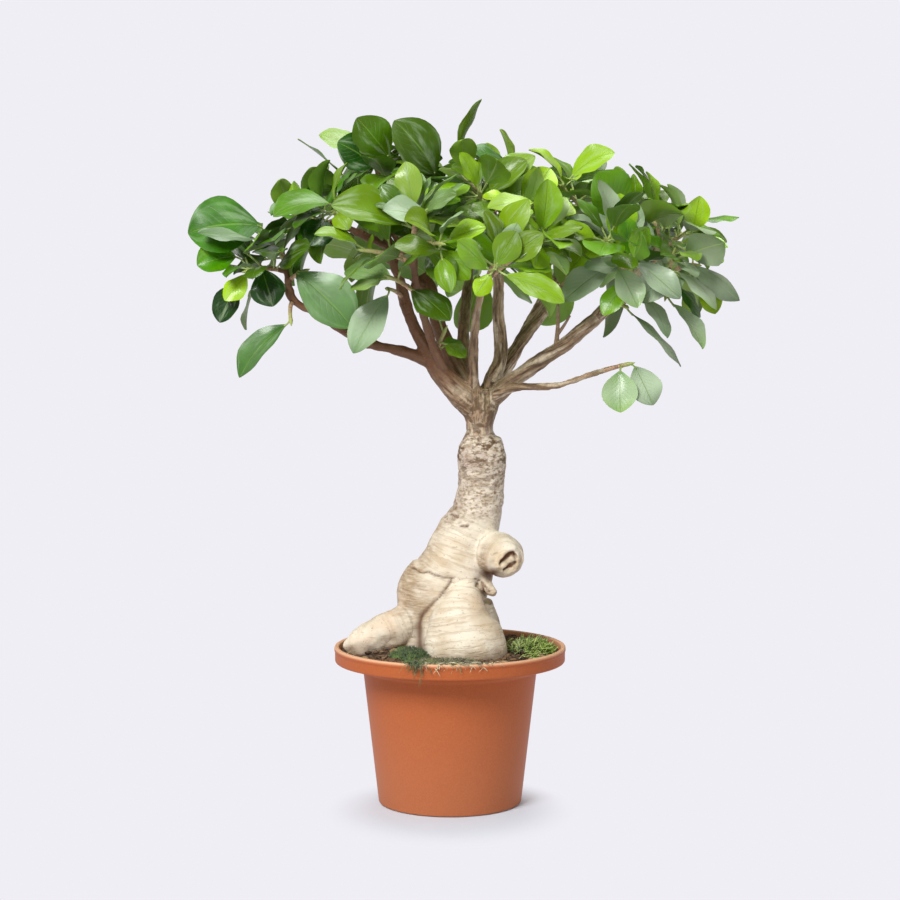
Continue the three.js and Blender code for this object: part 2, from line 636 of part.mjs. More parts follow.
function makeLeaf(root, base, direction, upHint, length, width, bend, fold) {
  const alongAxis = unit(direction);
  const side = unit(cross(alongAxis, upHint));
  const up = cross(side, alongAxis);
  const leaf = { root, base, along: alongAxis, side, up, length, width, bend, fold };
  leaf.samples = [];
  for (let u = 0.1; u < 1.01; u += 0.1) {
    for (const v of [-1, -0.5, 0, 0.5, 1]) leaf.samples.push(bladePoint(leaf, u, v));
  }
  leaf.stalk = [0.35, 0.7, 1].map((t) => add(scale(root, 1 - t), base, t));
  leaf.middle = bladePoint(leaf, 0.5, 0);
  leaf.radius = length * 0.5 + 3;
  return leaf;
}

// True where a point of one leaf comes too near the other's blade.
function meets(points, other, gap) {
  return points.some((p) => {
    const { u, y, height } = overBlade(other, p);
    return (
      Math.abs(height) < gap &&
      u > -0.04 &&
      u < 1.03 &&
      Math.abs(y) < other.width * outline(Math.min(Math.max(u, 0.03), 0.97)) + CLEAR.edge
    );
  });
}
function isClear(leaf, shoot, placed, wood) {
  for (const other of placed) {
    if (distance(leaf.middle, other.middle) > leaf.radius + other.radius) continue;
    const own = other.shoot === shoot;
    const gap = own ? CLEAR.sameShoot : CLEAR.blades;
    if (meets(leaf.samples, other, gap) || meets(other.samples, leaf, gap)) return false;
    if (!own && (meets(leaf.stalk, other, gap) || meets(other.stalk, leaf, gap))) return false;
  }
  for (const { a, b, radius, owner } of wood) {
    if (toSegment(leaf.middle, a, b) > radius + leaf.radius + CLEAR.wood) continue;
    const gap = radius + (owner === shoot ? CLEAR.ownTwig : CLEAR.wood);
    const points = owner === shoot ? leaf.samples : leaf.samples.concat(leaf.stalk);
    if (points.some((p) => toSegment(p, a, b) < gap)) return false;
  }
  return true;
}

// The leaves of a shoot, oldest turned out and youngest upright, on the golden angle
// round the twig's end. One that would cross another is turned aside, opened or shortened,
// and is left out where nothing helps.
const TRIES = [0, 1, -1, 2, -2, 3, -3, 4, -4, 5, -5, 6, -6];
function growLeaves(shoot, index, curve, spur, placed, wood) {
  const [name, , , , count, blade] = shoot;
  const draw = stream(index + GROWTH.seed);
  const tip = curve.at(1);
  const axis = unit(sub(tip, curve.at(0.86)));
  const outward = unit([tip[0] - CROWN.x, tip[1] - CROWN.y, 0]);
  const light = unit(add(add(scale(axis, 0.4), outward, CROWN.lean), [0, 0, 1]));
  const start = draw() * 2 * Math.PI;
  const { open, size, slim, bend, fold, stalk } = GROWTH;
  const span = Math.min(GROWTH.leafyEnd / curve.reach, (1 - spur) * GROWTH.leafyShare);
  const across = unit(cross(axis, [0.17, 0.23, 0.96]));
  const over = cross(axis, across);
  for (let i = 0; i < count; i++) {
    const age = count > 1 ? i / (count - 1) : 1;
    const aged = Math.pow(age, open.power);
    const grown = Math.min(1, size.growing * age);
    const turn = start + i * radians(GROWTH.goldenAngle) + (draw() - 0.5) * GROWTH.turnRange;
    const opened = radians(open.least + open.range * aged + (draw() - 0.5) * open.loose);
    const share = size.least + size.range * grown + (draw() - 0.5) * size.loose;
    const length = blade * share;
    const width = length * (slim.least + slim.range * draw());
    const bent = radians(bend.least + bend.range * draw());
    const folded = fold.least + fold.range * draw();
    const reach = stalk.least + stalk.range * draw();
    const roll = (draw() - 0.5) * GROWTH.rollRange;
    const place = GROWTH.firstAt + age * (1 - GROWTH.firstAt);
    const root = curve.at(1 - place * span).slice(0, 3);
    for (const step of TRIES) {
      const tried = Math.abs(step);
      const angle = turn + step * GROWTH.aside;
      const tilt = opened + (tried % 2 ? GROWTH.tilt : -GROWTH.tilt) * tried;
      const radial = add(scale(across, Math.cos(angle)), over, Math.sin(angle));
      const direction = add(scale(axis, Math.cos(tilt)), radial, Math.sin(tilt));
      const swung = add(direction, [0, 0, 1], GROWTH.lift);
      const base = add(root, unit(swung), reach);
      const sideways = unit(cross(unit(swung), light));
      const hint = add(light, sideways, roll);
      const shrink = 1 - GROWTH.shrink * tried;
      const leaf = makeLeaf(
        root, base, swung, hint, length * shrink, width * shrink, bent, folded,
      );
      if (!isClear(leaf, name, placed, wood)) continue;
      leaf.shoot = name;
      placed.push(leaf);
      break;
    }
  }
}
function namedLeaf([shoot, base, tip, facing, width, degrees], curve, spur) {
  const bend = radians(degrees);
  const chord = distance(base, tip);
  const length = (chord * (bend / 2)) / Math.sin(bend / 2);
  const straight = unit(sub(tip, base));
  const side = unit(cross(straight, facing));
  const up = cross(side, straight);
  const direction = add(scale(straight, Math.cos(bend / 2)), up, Math.sin(bend / 2));
  let root = curve.at(1);
  for (let t = 0.98; t > spur + 0.1 * (1 - spur); t -= 0.02) {
    if (distance(curve.at(t), base) < distance(root, base)) root = curve.at(t);
  }
  const leaf = makeLeaf(
    root.slice(0, 3), base, direction, up, length, width, bend, LEAF.namedFold,
  );
  leaf.shoot = shoot;
  return leaf;
}

// The solid of a leaf: a three-sided stalk that opens into a blade with a keel below.
function leafSolid(leaf) {
  const stalkWay = unit(sub(leaf.base, leaf.root));
  const side = unit(cross(stalkWay, leaf.up));
  const over = cross(side, stalkWay);
  const section = (centre, wide, deep, half) => {
    const upper = add(centre, deep, LEAF.keel * 0.5);
    return [add(upper, wide, -half), add(upper, wide, half), add(centre, deep, -LEAF.keel)];
  };
  const rings = [
    section(leaf.root, side, over, LEAF.stalkRoot),
    section(leaf.base, leaf.side, leaf.up, LEAF.neck * leaf.width),
  ];
  for (const u of LEAF.stations) {
    rings.push([bladePoint(leaf, u, -1), bladePoint(leaf, u, 1),
      bladePoint(leaf, u, 0, -LEAF.keel)]);
  }
  rings.push([bladePoint(leaf, 1, 0)]);
  return solid(skin(rings));
}

// A moss cushion: a low lumpy patch that follows the soil, trimmed clear of the roots.
function moss([, x, y, long, wide, degrees, height], rootsGrown) {
  const turn = radians(degrees);
  const place = (share, k, lift) => {
    const angle = (2 * Math.PI * k) / SIDES.moss;
    const ragged = 1 + 0.12 * Math.sin(3 * angle + x) + 0.07 * Math.cos(5 * angle);
    const a = long * share * ragged * Math.cos(angle);
    const b = wide * share * ragged * Math.sin(angle);
    const px = x + a * Math.cos(turn) - b * Math.sin(turn);
    const py = y + a * Math.sin(turn) + b * Math.cos(turn);
    return [px, py, soilTop(px, py) + lift];
  };
  const ring = (share, lift) =>
    Array.from({ length: SIDES.moss }, (_, k) => place(share, k, lift));
  const rest = MOSS_REST;
  const made = skin([
    [place(0, 0, rest)],
    ring(0.5, rest),
    ring(0.95, rest),
    ring(1, rest + height * 0.3),
    ring(0.8, rest + height * 0.75),
    ring(0.4, rest + height),
    [place(0, 0, rest + height)],
  ]);
  return solid(made).subtract(rootsGrown);
}

// Assembly.
const curves = SHOOTS.map(twigCurve);
const limbSegments = Object.values(LIMBS).flatMap(segmentsOf);
const trunkSegments = [TRUNK, ...Object.values(TUBERS)].flatMap(segmentsOf);
const spurs = curves.map((curve) => spurEnd(curve, limbSegments));
const wood = [...limbSegments, ...trunkSegments].map(([a, b, radius]) => ({ a, b, radius }));
curves.forEach((curve, i) => {
  const steps = [0, 0.25, 0.5, 0.75, 1].map((t) => curve.at(t));
  for (const [a, b, radius] of segmentsOf(steps)) {
    wood.push({ a, b, radius, owner: SHOOTS[i][0] });
  }
});

const placed = [];
const indexOf = Object.fromEntries(SHOOTS.map((shoot, i) => [shoot[0], i]));
for (const row of NAMED_LEAVES) {
  const i = indexOf[row[0]];
  placed.push(namedLeaf(row, curves[i], spurs[i]));
}
SHOOTS.forEach((shoot, i) => growLeaves(shoot, i, curves[i], spurs[i], placed, wood));

const bonsai = new THREE.Group();
bonsai.name = "ficus_bonsai";

const rootsGrown = join(roots(GAP + 0.1));
bonsai.add(named("pot", pot(), MATERIALS.pot));
bonsai.add(named("soil", soil(rootsGrown), MATERIALS.soil));

const spurTube = (curve, end) => {
  const rows = [0, end].map((t) => limbRow(curve.at(t)));
  return solid(tube(rows, SIDES.twig, limbAside, 0, { last: curve.facing(end) }));
};
const skyward = [0, 0, 1];
const slanting = [0.67, 0, 0.74];
const woody = [
  ...roots(0),
  solid(tube(STUB, SIDES.stub, skyward))
    .subtract(solid(tube(STUB_HOLLOW, SIDES.hollow, slanting))),
  solid(tube(SNAG, SIDES.snag, skyward)),
  ...Object.values(LIMBS).map(limb),
  ...curves.map((curve, i) => [curve, spurs[i]]).filter(([, end]) => end > 0)
    .map(([curve, end]) => spurTube(curve, end)),
];
bonsai.add(named("trunk_and_limbs", join(woody), MATERIALS.bark));

// A shoot's twig starts a gap past its spur's cut face, and ends in a pointed bud.
SHOOTS.forEach(([name], i) => {
  const curve = curves[i];
  const facing = curve.facing(spurs[i]);
  const rows = [0, 0.5, 1].map((t) => limbRow(curve.at(spurs[i] + (1 - spurs[i]) * t)));
  rows[0] = [...add(rows[0], facing, GAP), rows[0][3], rows[0][4]];
  const tip = curve.at(1);
  const budWay = unit(sub(tip, curve.at(0.9)));
  rows.push([...add(tip, budWay, TWIG.bud), 0, 0]);
  const pieces = [solid(tube(rows, SIDES.twig, limbAside, 0, { first: facing }))];
  for (const leaf of placed.filter((one) => one.shoot === name)) pieces.push(leafSolid(leaf));
  bonsai.add(named("shoot_" + name, join(pieces), MATERIALS.leaf));
});
for (const row of MOSS) bonsai.add(named(row[0], moss(row, rootsGrown), MATERIALS.moss));

export default bonsai;
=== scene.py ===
"""Looks of a ficus bonsai in a terracotta-coloured pot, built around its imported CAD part.

Every length in the tables is in millimetres and becomes metres when a mesh is made. The
origin is the middle of the pot's underside, +X is to the right of someone who faces the
front of the tree, +Y goes away from them and +Z is up.
"""

import itertools
import logging
import math
from dataclasses import dataclass, field
from enum import Enum
from functools import cache

import bpy
import numpy as np
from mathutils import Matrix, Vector
from numpy.typing import NDArray

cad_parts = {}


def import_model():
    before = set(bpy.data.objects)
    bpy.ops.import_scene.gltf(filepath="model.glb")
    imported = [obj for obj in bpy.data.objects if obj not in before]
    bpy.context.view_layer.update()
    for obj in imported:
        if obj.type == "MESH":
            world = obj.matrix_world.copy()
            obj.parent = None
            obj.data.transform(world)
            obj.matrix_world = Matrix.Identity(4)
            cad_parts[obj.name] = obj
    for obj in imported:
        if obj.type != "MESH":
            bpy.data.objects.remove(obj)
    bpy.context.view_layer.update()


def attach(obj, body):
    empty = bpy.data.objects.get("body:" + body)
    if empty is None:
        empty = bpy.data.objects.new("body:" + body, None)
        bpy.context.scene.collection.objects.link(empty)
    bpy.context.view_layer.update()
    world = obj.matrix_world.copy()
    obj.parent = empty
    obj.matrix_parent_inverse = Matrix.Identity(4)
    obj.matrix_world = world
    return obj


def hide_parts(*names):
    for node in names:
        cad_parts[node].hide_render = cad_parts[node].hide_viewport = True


Array = NDArray[np.float64]
Faces = NDArray[np.int64]
Socket = bpy.types.NodeSocket
Colour = tuple[float, float, float, float]
Surface = tuple[Socket, Socket, Socket]
Place = tuple[float, float, float]

LOG = logging.getLogger("bonsai")
MM = 0.001
# How far the camera stands before the trunk and how high, in millimetres.
EYE_BACK, EYE_HIGH = 1600, 380
GOLDEN = math.radians(137.5)
UP = np.array([0.0, 0.0, 1.0])
RIGHT = np.array([1.0, 0.0, 0.0])
# Ways that no twig and no limb runs. What lies across them is measured from these.
TWIG_ASIDE = np.array([0.17, 0.23, 0.96])
LIMB_ASIDE = np.array([0.31, 0.93, 0.17])
# Where leaves turn away from, seen from above, in millimetres.
CROWN_MIDDLE = np.array([10.0, 20.0, 0.0])
SURFACE = {"Color": "NodeSocketColor", "Roughness": "NodeSocketFloat", "Height": "NodeSocketFloat"}


class Slot(Enum):
    """Material slots of the record."""

    POT = "terracotta_plastic"
    SOIL = "potting_soil"
    BARK = "bark"
    LEAF = "leaf"
    MOSS = "moss"


# Arrays and noise


def table(rows: list[tuple[float, ...]] | tuple[float, ...]) -> Array:
    """Numbers as an array."""
    return np.array(rows, float)


def lengths(v: Array) -> Array:
    """The lengths of vectors along the last axis."""
    return np.linalg.norm(v, axis=-1)


def unit(v: Array) -> Array:
    """The directions of vectors: each divided by its own length along the last axis."""
    return v / np.linalg.norm(v, axis=-1, keepdims=True)


def turns(around: int) -> Array:
    """Angles that share a full turn evenly."""
    return np.arange(around) * (2 * math.pi / around)


def smooth_step(low: float, high: float, x: Array) -> Array:
    """A soft step of x: 0 up to low, 1 from high, and 3t^2 - 2t^3 between them."""
    t = np.clip((x - low) / (high - low), 0.0, 1.0)
    return t * t * (3.0 - 2.0 * t)


def along(rows: Array, t: Array | float) -> Array:
    """A smooth curve through the rows of a table: a Catmull-Rom spline of every column.

    Args:
        rows: The table, one knot a row.
        t: Places from 0 at the first row to 1 at the last.

    Returns:
        The blended rows at those places.
    """
    spans = len(rows) - 1
    at = np.clip(np.asarray(t, float), 0.0, 1.0) * spans
    i = np.minimum(np.floor(at).astype(int), spans - 1)
    f = (at - i)[..., None]
    a, b = rows[np.maximum(i - 1, 0)], rows[i]
    c, d = rows[i + 1], rows[np.minimum(i + 2, spans)]
    square = (2 * a - 5 * b + 4 * c - d) * f * f
    cube = (3 * b - a - 3 * c + d) * f * f * f
    return 0.5 * (2 * b + (c - a) * f + square + cube)


def curve(a: Array, b: Array, c: Array, t: Array) -> Array:
    """A quadratic curve from a to c that sets out towards b: a(1-t)^2 + 2bt(1-t) + ct^2."""
    return a * (1 - t) ** 2 + b * 2 * t * (1 - t) + c * t * t


def corner_values(corners: Array, seed: int) -> Array:
    """A repeatable value from 0 to 1 for each lattice corner: the fraction of a folded sine."""
    mixed = corners @ np.array([127.1, 311.7, 74.7]) + seed * 53.3
    return np.modf(np.abs(np.sin(mixed)) * 43758.5453)[0]


def noise(points: Array, size: float | Array, seed: int) -> Array:
    """Value noise: corner values blended by smooth weights in each of the three directions.

    Args:
        points: Points in millimetres.
        size: Cell size, one number or one for each axis.
        seed: Tells one pattern from another.

    Returns:
        Values from -1 to 1.
    """
    place = points / size
    cell = np.floor(place)
    part = place - cell
    weight = part * part * (3.0 - 2.0 * part)
    total = np.zeros(len(points))
    for corner in itertools.product((0.0, 1.0), repeat=3):
        step = np.array(corner)
        share = np.prod(np.where(step > 0, weight, 1.0 - weight), axis=1)
        total += share * corner_values(cell + step, seed)
    return 2.0 * total - 1.0


def nearest_seed(points: Array, size: float, seed: int) -> Array:
    """Distance in cells from each point to the nearest of one random spot in every cell.

    Args:
        points: Points in millimetres.
        size: Cell size.
        seed: Tells one pattern from another.

    Returns:
        Distances from 0 at a spot to about 1 between spots.
    """
    place = points / size
    cell = np.floor(place)
    best = np.full(len(points), 9.0)
    for corner in itertools.product((-1.0, 0.0, 1.0), repeat=3):
        home = cell + np.array(corner)
        spot = home + np.stack([corner_values(home, seed + k) for k in range(3)], -1)
        best = np.minimum(best, lengths(place - spot))
    return best


def to_segments(points: Array, a: Array, b: Array) -> Array:
    """Distance from every point to every segment.

    Args:
        points: Points, (n, 3).
        a: Segment starts, (k, 3).
        b: Segment ends, (k, 3).

    Returns:
        Distances, (n, k).
    """
    run = b - a
    reach = points[:, None, :] - a[None]
    share = np.clip((reach * run).sum(-1) / (run * run).sum(-1), 0.0, 1.0)
    return lengths(reach - share[..., None] * run)


# Meshes


@dataclass
class Patch:
    """Part of a mesh: points in millimetres, faces, and what is painted on the points."""

    points: Array
    faces: list[Faces]
    finish: int | list[int] = 0
    uv: Array | None = None
    paint: dict[str, Array] = field(default_factory=dict)

    def runs(self, start: int) -> list[tuple[Faces, int]]:
        """Its lists of faces, numbered from a start in the whole mesh, each with its finish."""
        finishes = self.finish if isinstance(self.finish, list) else [self.finish] * len(self.faces)
        return [(f + start, number) for f, number in zip(self.faces, finishes) if len(f)]


def ring_faces(rings: int, around: int, copies: int = 1) -> Faces:
    """Quads between neighbouring closed rings.

    Args:
        rings: Rings in one copy.
        around: Points in a ring.
        copies: Copies that follow one another in the list of points.

    Returns:
        Corner numbers, four a face.
    """
    i, k = np.meshgrid(np.arange(rings - 1), np.arange(around), indexing="ij")
    a = i * around + k
    b = i * around + (k + 1) % around
    quads = np.stack([a, b, b + around, a + around], -1).reshape(-1, 4)
    start = np.arange(copies)[:, None, None] * rings * around
    return (quads[None] + start).reshape(-1, 4)


def end_faces(rings: int, around: int, copies: int = 1) -> list[Faces]:
    """The two faces that close the first and the last ring of each copy.

    Args:
        rings: Rings in one copy.
        around: Points in a ring.
        copies: Copies that follow one another in the list of points.

    Returns:
        Two lists of faces, both turned outwards.
    """
    start = np.arange(copies)[:, None] * rings * around
    turn = np.arange(around)
    return [start + turn[::-1], start + (rings - 1) * around + turn]


def tube_rings(path: Array, wide: Array, deep: Array, aside: Array, around: int) -> Array:
    """Elliptical rings square to a path: centre + side cos a * wide + other side sin a * deep.

    Args:
        path: Points of the path, (..., rings, 3).
        wide: Half width at each point of the path.
        deep: Half depth at each point of the path.
        aside: The way that the half width points, where the path allows it.
        around: Points in a ring.

    Returns:
        Ring points, (..., rings, around, 3).
    """
    tangent = unit(np.gradient(path, axis=-2))
    other = unit(np.cross(tangent, aside))
    side = unit(np.cross(other, tangent))
    angle = turns(around)
    out = side[..., None, :] * np.cos(angle)[:, None] * wide[..., None, None]
    over = other[..., None, :] * np.sin(angle)[:, None] * deep[..., None, None]
    return path[..., None, :] + out + over


def closed_tubes(rings: Array, finish: int = 0, tint: Array | None = None) -> Patch:
    """Tubes with both ends closed.

    Args:
        rings: Ring points, (..., rings, around, 3).
        finish: Number of their finish.
        tint: What is painted on the points under that name.

    Returns:
        A patch of closed tubes.
    """
    count, around = rings.shape[-3:-1]
    copies = rings.size // (3 * count * around)
    faces = [ring_faces(count, around, copies), *end_faces(count, around, copies)]
    return Patch(rings.reshape(-1, 3), faces, finish, paint={} if tint is None else {"tint": tint})


def lathe(profile: Array, around: int) -> Patch:
    """A profile turned round the Z axis. Its first and last points are on the axis.

    Args:
        profile: Radius and height of each point, in the order that keeps the solid inside.
        around: Points in a ring.

    Returns:
        A closed patch: one pole, the rings, and the other pole.
    """
    angle = turns(around)
    inner = profile[1:-1]
    x, y = inner[:, :1] * np.cos(angle), inner[:, :1] * np.sin(angle)
    rings = np.stack([x, y, np.repeat(inner[:, 1:], around, axis=1)], -1)
    points = np.concatenate([[UP * profile[0, 1]], rings.reshape(-1, 3), [UP * profile[-1, 1]]])
    k = np.arange(around)
    first, last = 1 + k, 1 + (len(inner) - 1) * around + k
    after_first, after_last = np.roll(first, -1), np.roll(last, -1)
    start = np.stack([np.zeros_like(k), after_first, first], -1)
    close = np.stack([last, after_last, np.full_like(k, len(points) - 1)], -1)
    return Patch(points, [ring_faces(len(inner), around) + 1, start, close])


def rounded(corners: Array, radii: Array, steps: int = 5) -> Array:
    """A profile with its corners rounded: a corner becomes a quadratic curve between the
    points that lie its radius away on both sides.

    Args:
        corners: Corner points of the open profile.
        radii: How far the rounding reaches from each corner; 0 keeps a corner.
        steps: Points on a rounded corner.

    Returns:
        The points of the rounded profile.
    """
    made = [corners[:1]]
    t = np.linspace(0.0, 1.0, steps)[:, None]
    for before, here, after, radius in zip(corners, corners[1:], corners[2:], radii[1:]):
        if radius == 0:
            made.append(here[None])
            continue
        ahead = here + unit(after - here) * radius
        made.append(curve(here + unit(before - here) * radius, here, ahead, t))
    made.append(corners[-1:])
    return np.concatenate(made)


def make_mesh(name: str, patches: list[Patch], finishes: list[bpy.types.Material]) -> bpy.types.Object:
    """One object from patches, in metres, shaded smooth.

    Args:
        name: The piece's name.
        patches: What it is made of.
        finishes: Materials, in the order of the patches' finish numbers.

    Returns:
        The object, linked to the scene, at the origin.
    """
    starts = np.cumsum([0] + [len(p.points) for p in patches])
    points = np.concatenate([p.points for p in patches]) * MM
    runs = [run for p, s in zip(patches, starts) for run in p.runs(s)]
    corners = np.concatenate([f.ravel() for f, _ in runs])
    sizes = np.concatenate([np.full(len(f), f.shape[1]) for f, _ in runs])
    finish = np.concatenate([np.full(len(f), number) for f, number in runs])
    mesh = bpy.data.meshes.new(name)
    mesh.vertices.add(len(points))
    mesh.vertices.foreach_set("co", points.astype(np.float32).ravel())
    mesh.loops.add(len(corners))
    mesh.loops.foreach_set("vertex_index", corners.astype(np.int32))
    mesh.polygons.add(len(sizes))
    mesh.polygons.foreach_set("loop_start", (np.cumsum(sizes) - sizes).astype(np.int32))
    mesh.polygons.foreach_set("material_index", finish.astype(np.int32))
    mesh.polygons.foreach_set("use_smooth", np.ones(len(sizes), bool))
    if any(p.uv is not None for p in patches):
        flat = [p.uv if p.uv is not None else np.zeros((len(p.points), 2)) for p in patches]
        layer = mesh.uv_layers.new(name="surface")
        layer.uv.foreach_set("vector", np.concatenate(flat)[corners].astype(np.float32).ravel())
    for key in sorted({key for p in patches for key in p.paint}):
        values = [p.paint.get(key, np.zeros(len(p.points))) for p in patches]
        attribute = mesh.attributes.new(key, "FLOAT", "POINT")
        attribute.data.foreach_set("value", np.concatenate(values).astype(np.float32))
    mesh.update(calc_edges=True)
    mesh.validate()
    for material in finishes:
        mesh.materials.append(material)
    piece = bpy.data.objects.new(name, mesh)
    bpy.context.scene.collection.objects.link(piece)
    return piece


def settle(piece: bpy.types.Object, slot: Slot, *nodes: str) -> None:
    """Lets a piece ride on the object and stand for its CAD nodes.

    Args:
        piece: The finished piece.
        slot: The record's material slot; not used.
        nodes: CAD nodes that the piece stands for.
    """
    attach(piece, "root")
    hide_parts(*nodes)
    LOG.info("%s: %d faces, for %s", piece.name, len(piece.data.polygons), ", ".join(nodes))


# Node boards


def srgb(red: float, green: float, blue: float) -> Colour:
    """A colour for a shader from its screen values.

    Args:
        red: Red from 0 to 255.
        green: Green from 0 to 255.
        blue: Blue from 0 to 255.

    Returns:
        Linear red, green and blue, and full alpha.
    """
    screen = np.array([red, green, blue]) / 255.0
    low, high = screen / 12.92, ((screen + 0.055) / 1.055) ** 2.4
    r, g, b = np.where(screen <= 0.04045, low, high)
    return float(r), float(g), float(b), 1.0


@dataclass
class Board:
    """Lays nodes on a tree and wires them."""

    tree: bpy.types.NodeTree

    def node(self, kind: str, inputs: dict | None = None, **settings: object) -> bpy.types.Node:
        """A new node.

        Args:
            kind: The node's type.
            inputs: Values or sockets for its inputs, by name or number.
            settings: The node's own properties.

        Returns:
            The node.
        """
        made = self.tree.nodes.new(kind)
        for key, value in settings.items():
            setattr(made, key, value)
        for key, value in (inputs or {}).items():
            if isinstance(value, Socket):
                self.tree.links.new(value, made.inputs[key])
            else:
                made.inputs[key].default_value = value
        return made

    def give(self, inputs: bpy.types.NodeInputs, **results: Socket) -> None:
        """Wires results into the inputs that bear their names."""
        for key, socket in results.items():
            self.tree.links.new(socket, inputs[key])

    def math(self, operation: str, a: object, b: object = 0.0) -> Socket:
        """Arithmetic on two values or sockets."""
        return self.node("ShaderNodeMath", {0: a, 1: b}, operation=operation).outputs[0]

    def plus(self, a: object, b: object) -> Socket:
        """Their sum."""
        return self.math("ADD", a, b)

    def minus(self, a: object, b: object) -> Socket:
        """The first without the second."""
        return self.math("SUBTRACT", a, b)

    def times(self, a: object, b: object) -> Socket:
        """Their product."""
        return self.math("MULTIPLY", a, b)

    def step(self, value: Socket, low: float, high: float, to: tuple[float, float] = (0.0, 1.0)) -> Socket:
        """A soft step that goes from to[0] to to[1] while the value goes from low to high."""
        inputs = {"Value": value, "From Min": low, "From Max": high, "To Min": to[0], "To Max": to[1]}
        return self.node("ShaderNodeMapRange", inputs, interpolation_type="SMOOTHSTEP").outputs[0]

    def mix(self, colour: object, *layers: tuple[object, object]) -> Socket:
        """A colour with others laid over it, one after the other.

        Args:
            colour: The lowest colour, a value or a socket.
            layers: The share and the colour of each layer.

        Returns:
            The blended colour's socket.
        """
        for share, over in layers:
            blend = self.node("ShaderNodeMix", {0: share, 6: colour, 7: over}, data_type="RGBA")
            colour = blend.outputs[2]
        return colour

    def place(self) -> Socket:
        """The place on the piece in metres, from the object's own coordinates."""
        return self.node("ShaderNodeTexCoord").outputs["Object"]

    def painted(self, name: str) -> Socket:
        """The value that a piece carries on its points under that name."""
        return self.node("ShaderNodeAttribute", attribute_name=name).outputs["Fac"]

    def parts(self, place: Socket) -> bpy.types.NodeOutputs:
        """The three parts of a place."""
        return self.node("ShaderNodeSeparateXYZ", {0: place}).outputs

    def joined(self, *parts: object) -> Socket:
        """A place from its three parts."""
        return self.node("ShaderNodeCombineXYZ", dict(enumerate(parts))).outputs[0]

    def stretch(self, *sizes: float) -> Socket:
        """The place on the piece scaled along its three axes."""
        inputs = {0: self.place(), 1: sizes}
        return self.node("ShaderNodeVectorMath", inputs, operation="MULTIPLY").outputs[0]

    def grain(self, scale: object, detail: float = 3.0, rough: float = 0.55, at: object = None) -> Socket:
        """Noise of about 0.2 to 0.8: cells in a metre, finer layers, their strength, the place."""
        inputs = {"Vector": at or self.place(), "Scale": scale, "Detail": detail, "Roughness": rough}
        return self.node("ShaderNodeTexNoise", inputs).outputs["Fac"]


def new_group(name: str, inputs: dict[str, object]) -> tuple[Board, Socket, Socket]:
    """An empty node group that puts out a colour, a roughness and a height.

    Args:
        name: The group's name.
        inputs: Default values of its inputs: a number or a colour.

    Returns:
        A board on the group, its inputs, and the sockets that take its results.
    """
    tree = bpy.data.node_groups.new(name, "ShaderNodeTree")
    for key, value in inputs.items():
        kind = "NodeSocketFloat" if isinstance(value, float) else "NodeSocketColor"
        tree.interface.new_socket(key, in_out="INPUT", socket_type=kind).default_value = value
    for key, kind in SURFACE.items():
        tree.interface.new_socket(key, in_out="OUTPUT", socket_type=kind)
    board = Board(tree)
    return board, board.node("NodeGroupInput").outputs, board.node("NodeGroupOutput").inputs


@cache
def speckle_group() -> bpy.types.NodeTree:
    """Fine grain with coarse patches between two colours, for soil, moss, pot and twigs.

    Returns:
        The group, made once.
    """
    board, given, result = new_group("speckled_grain", {
        "Light": srgb(200, 200, 200), "Dark": srgb(90, 90, 90), "Scale": 400.0,
        "Patches": 0.5, "Smooth": 0.4, "Rough": 0.6,
    })
    fine = board.grain(given["Scale"], 4.0)
    coarse = board.grain(board.times(given["Scale"], 0.12), 2.0)
    lean = board.times(board.minus(coarse, 0.5), given["Patches"])
    share = board.step(board.plus(fine, lean), 0.32, 0.68)
    rough = board.plus(given["Smooth"], board.times(fine, board.minus(given["Rough"], given["Smooth"])))
    colour = board.mix(given["Dark"], (share, given["Light"]))
    board.give(result, Color=colour, Roughness=rough, Height=fine)
    return board.tree


@cache
def leaf_group() -> bpy.types.NodeTree:
    """A leaf's colours: mottled green by its shade, yellower when it is young, greyer where a painted sheen
    and painted gloss streaks stand in for reflected light, with a pale midrib and fine side veins laid out
    on its UV map.

    Returns:
        The group, made once.
    """
    names = ("Deep", "Fresh", "Young", "Silver", "Vein")
    board, given, result = new_group("leaf_flesh", {k: srgb(50, 110, 30) for k in names} | {"Veins": 0.5})
    u, v, _ = board.parts(board.node("ShaderNodeUVMap", uv_map="surface").outputs[0])
    across = board.math("ABSOLUTE", board.minus(v, 0.5))
    shade = board.painted("shade")
    mottle = board.grain(70.0)
    tone = board.plus(shade, board.times(mottle, 0.7))
    spread = board.joined(board.times(u, 1.6), board.times(v, 5.0), board.times(shade, 90.0))
    streak = board.grain(1.0, at=spread)
    # Painted gloss: pale streaks along the blade, on the darker leaves, that stand in for reflections.
    painted_gloss = board.times(board.step(streak, 0.5, 0.72), board.step(shade, 0.1, 0.5, (0.4, 0.2)))
    slant = board.minus(board.times(u, 9.0), board.times(across, 7.0))
    wave = board.math("ABSOLUTE", board.minus(board.math("FRACT", slant), 0.5))
    side = board.times(board.step(wave, 0.07, 0.0), board.step(across, 0.5, 0.1))
    vein = board.math("MAXIMUM", board.times(side, 0.25), board.step(across, 0.028, 0.008))
    # The silver sheen and the gloss streaks are painted reflection laid over the green.
    colour = board.mix(
        given["Deep"], (board.step(tone, 0.2, 1.25), given["Fresh"]),
        (board.step(tone, 0.95, 1.45, (0.0, 0.55)), given["Young"]),
        (board.painted("youth"), given["Young"]), (board.painted("silver"), given["Silver"]),
        (painted_gloss, given["Silver"]), (board.times(vein, given["Veins"]), given["Vein"]),
    )
    billow = board.times(board.grain(42.0, 2.0), 1.6)
    quilt = board.plus(billow, board.times(wave, 0.16))
    height = board.minus(board.plus(mottle, quilt), board.times(vein, 0.8))
    rough = board.step(mottle, 0.3, 0.7, (0.28, 0.46))
    board.give(result, Color=colour, Roughness=rough, Height=height)
    return board.tree


# Finishes


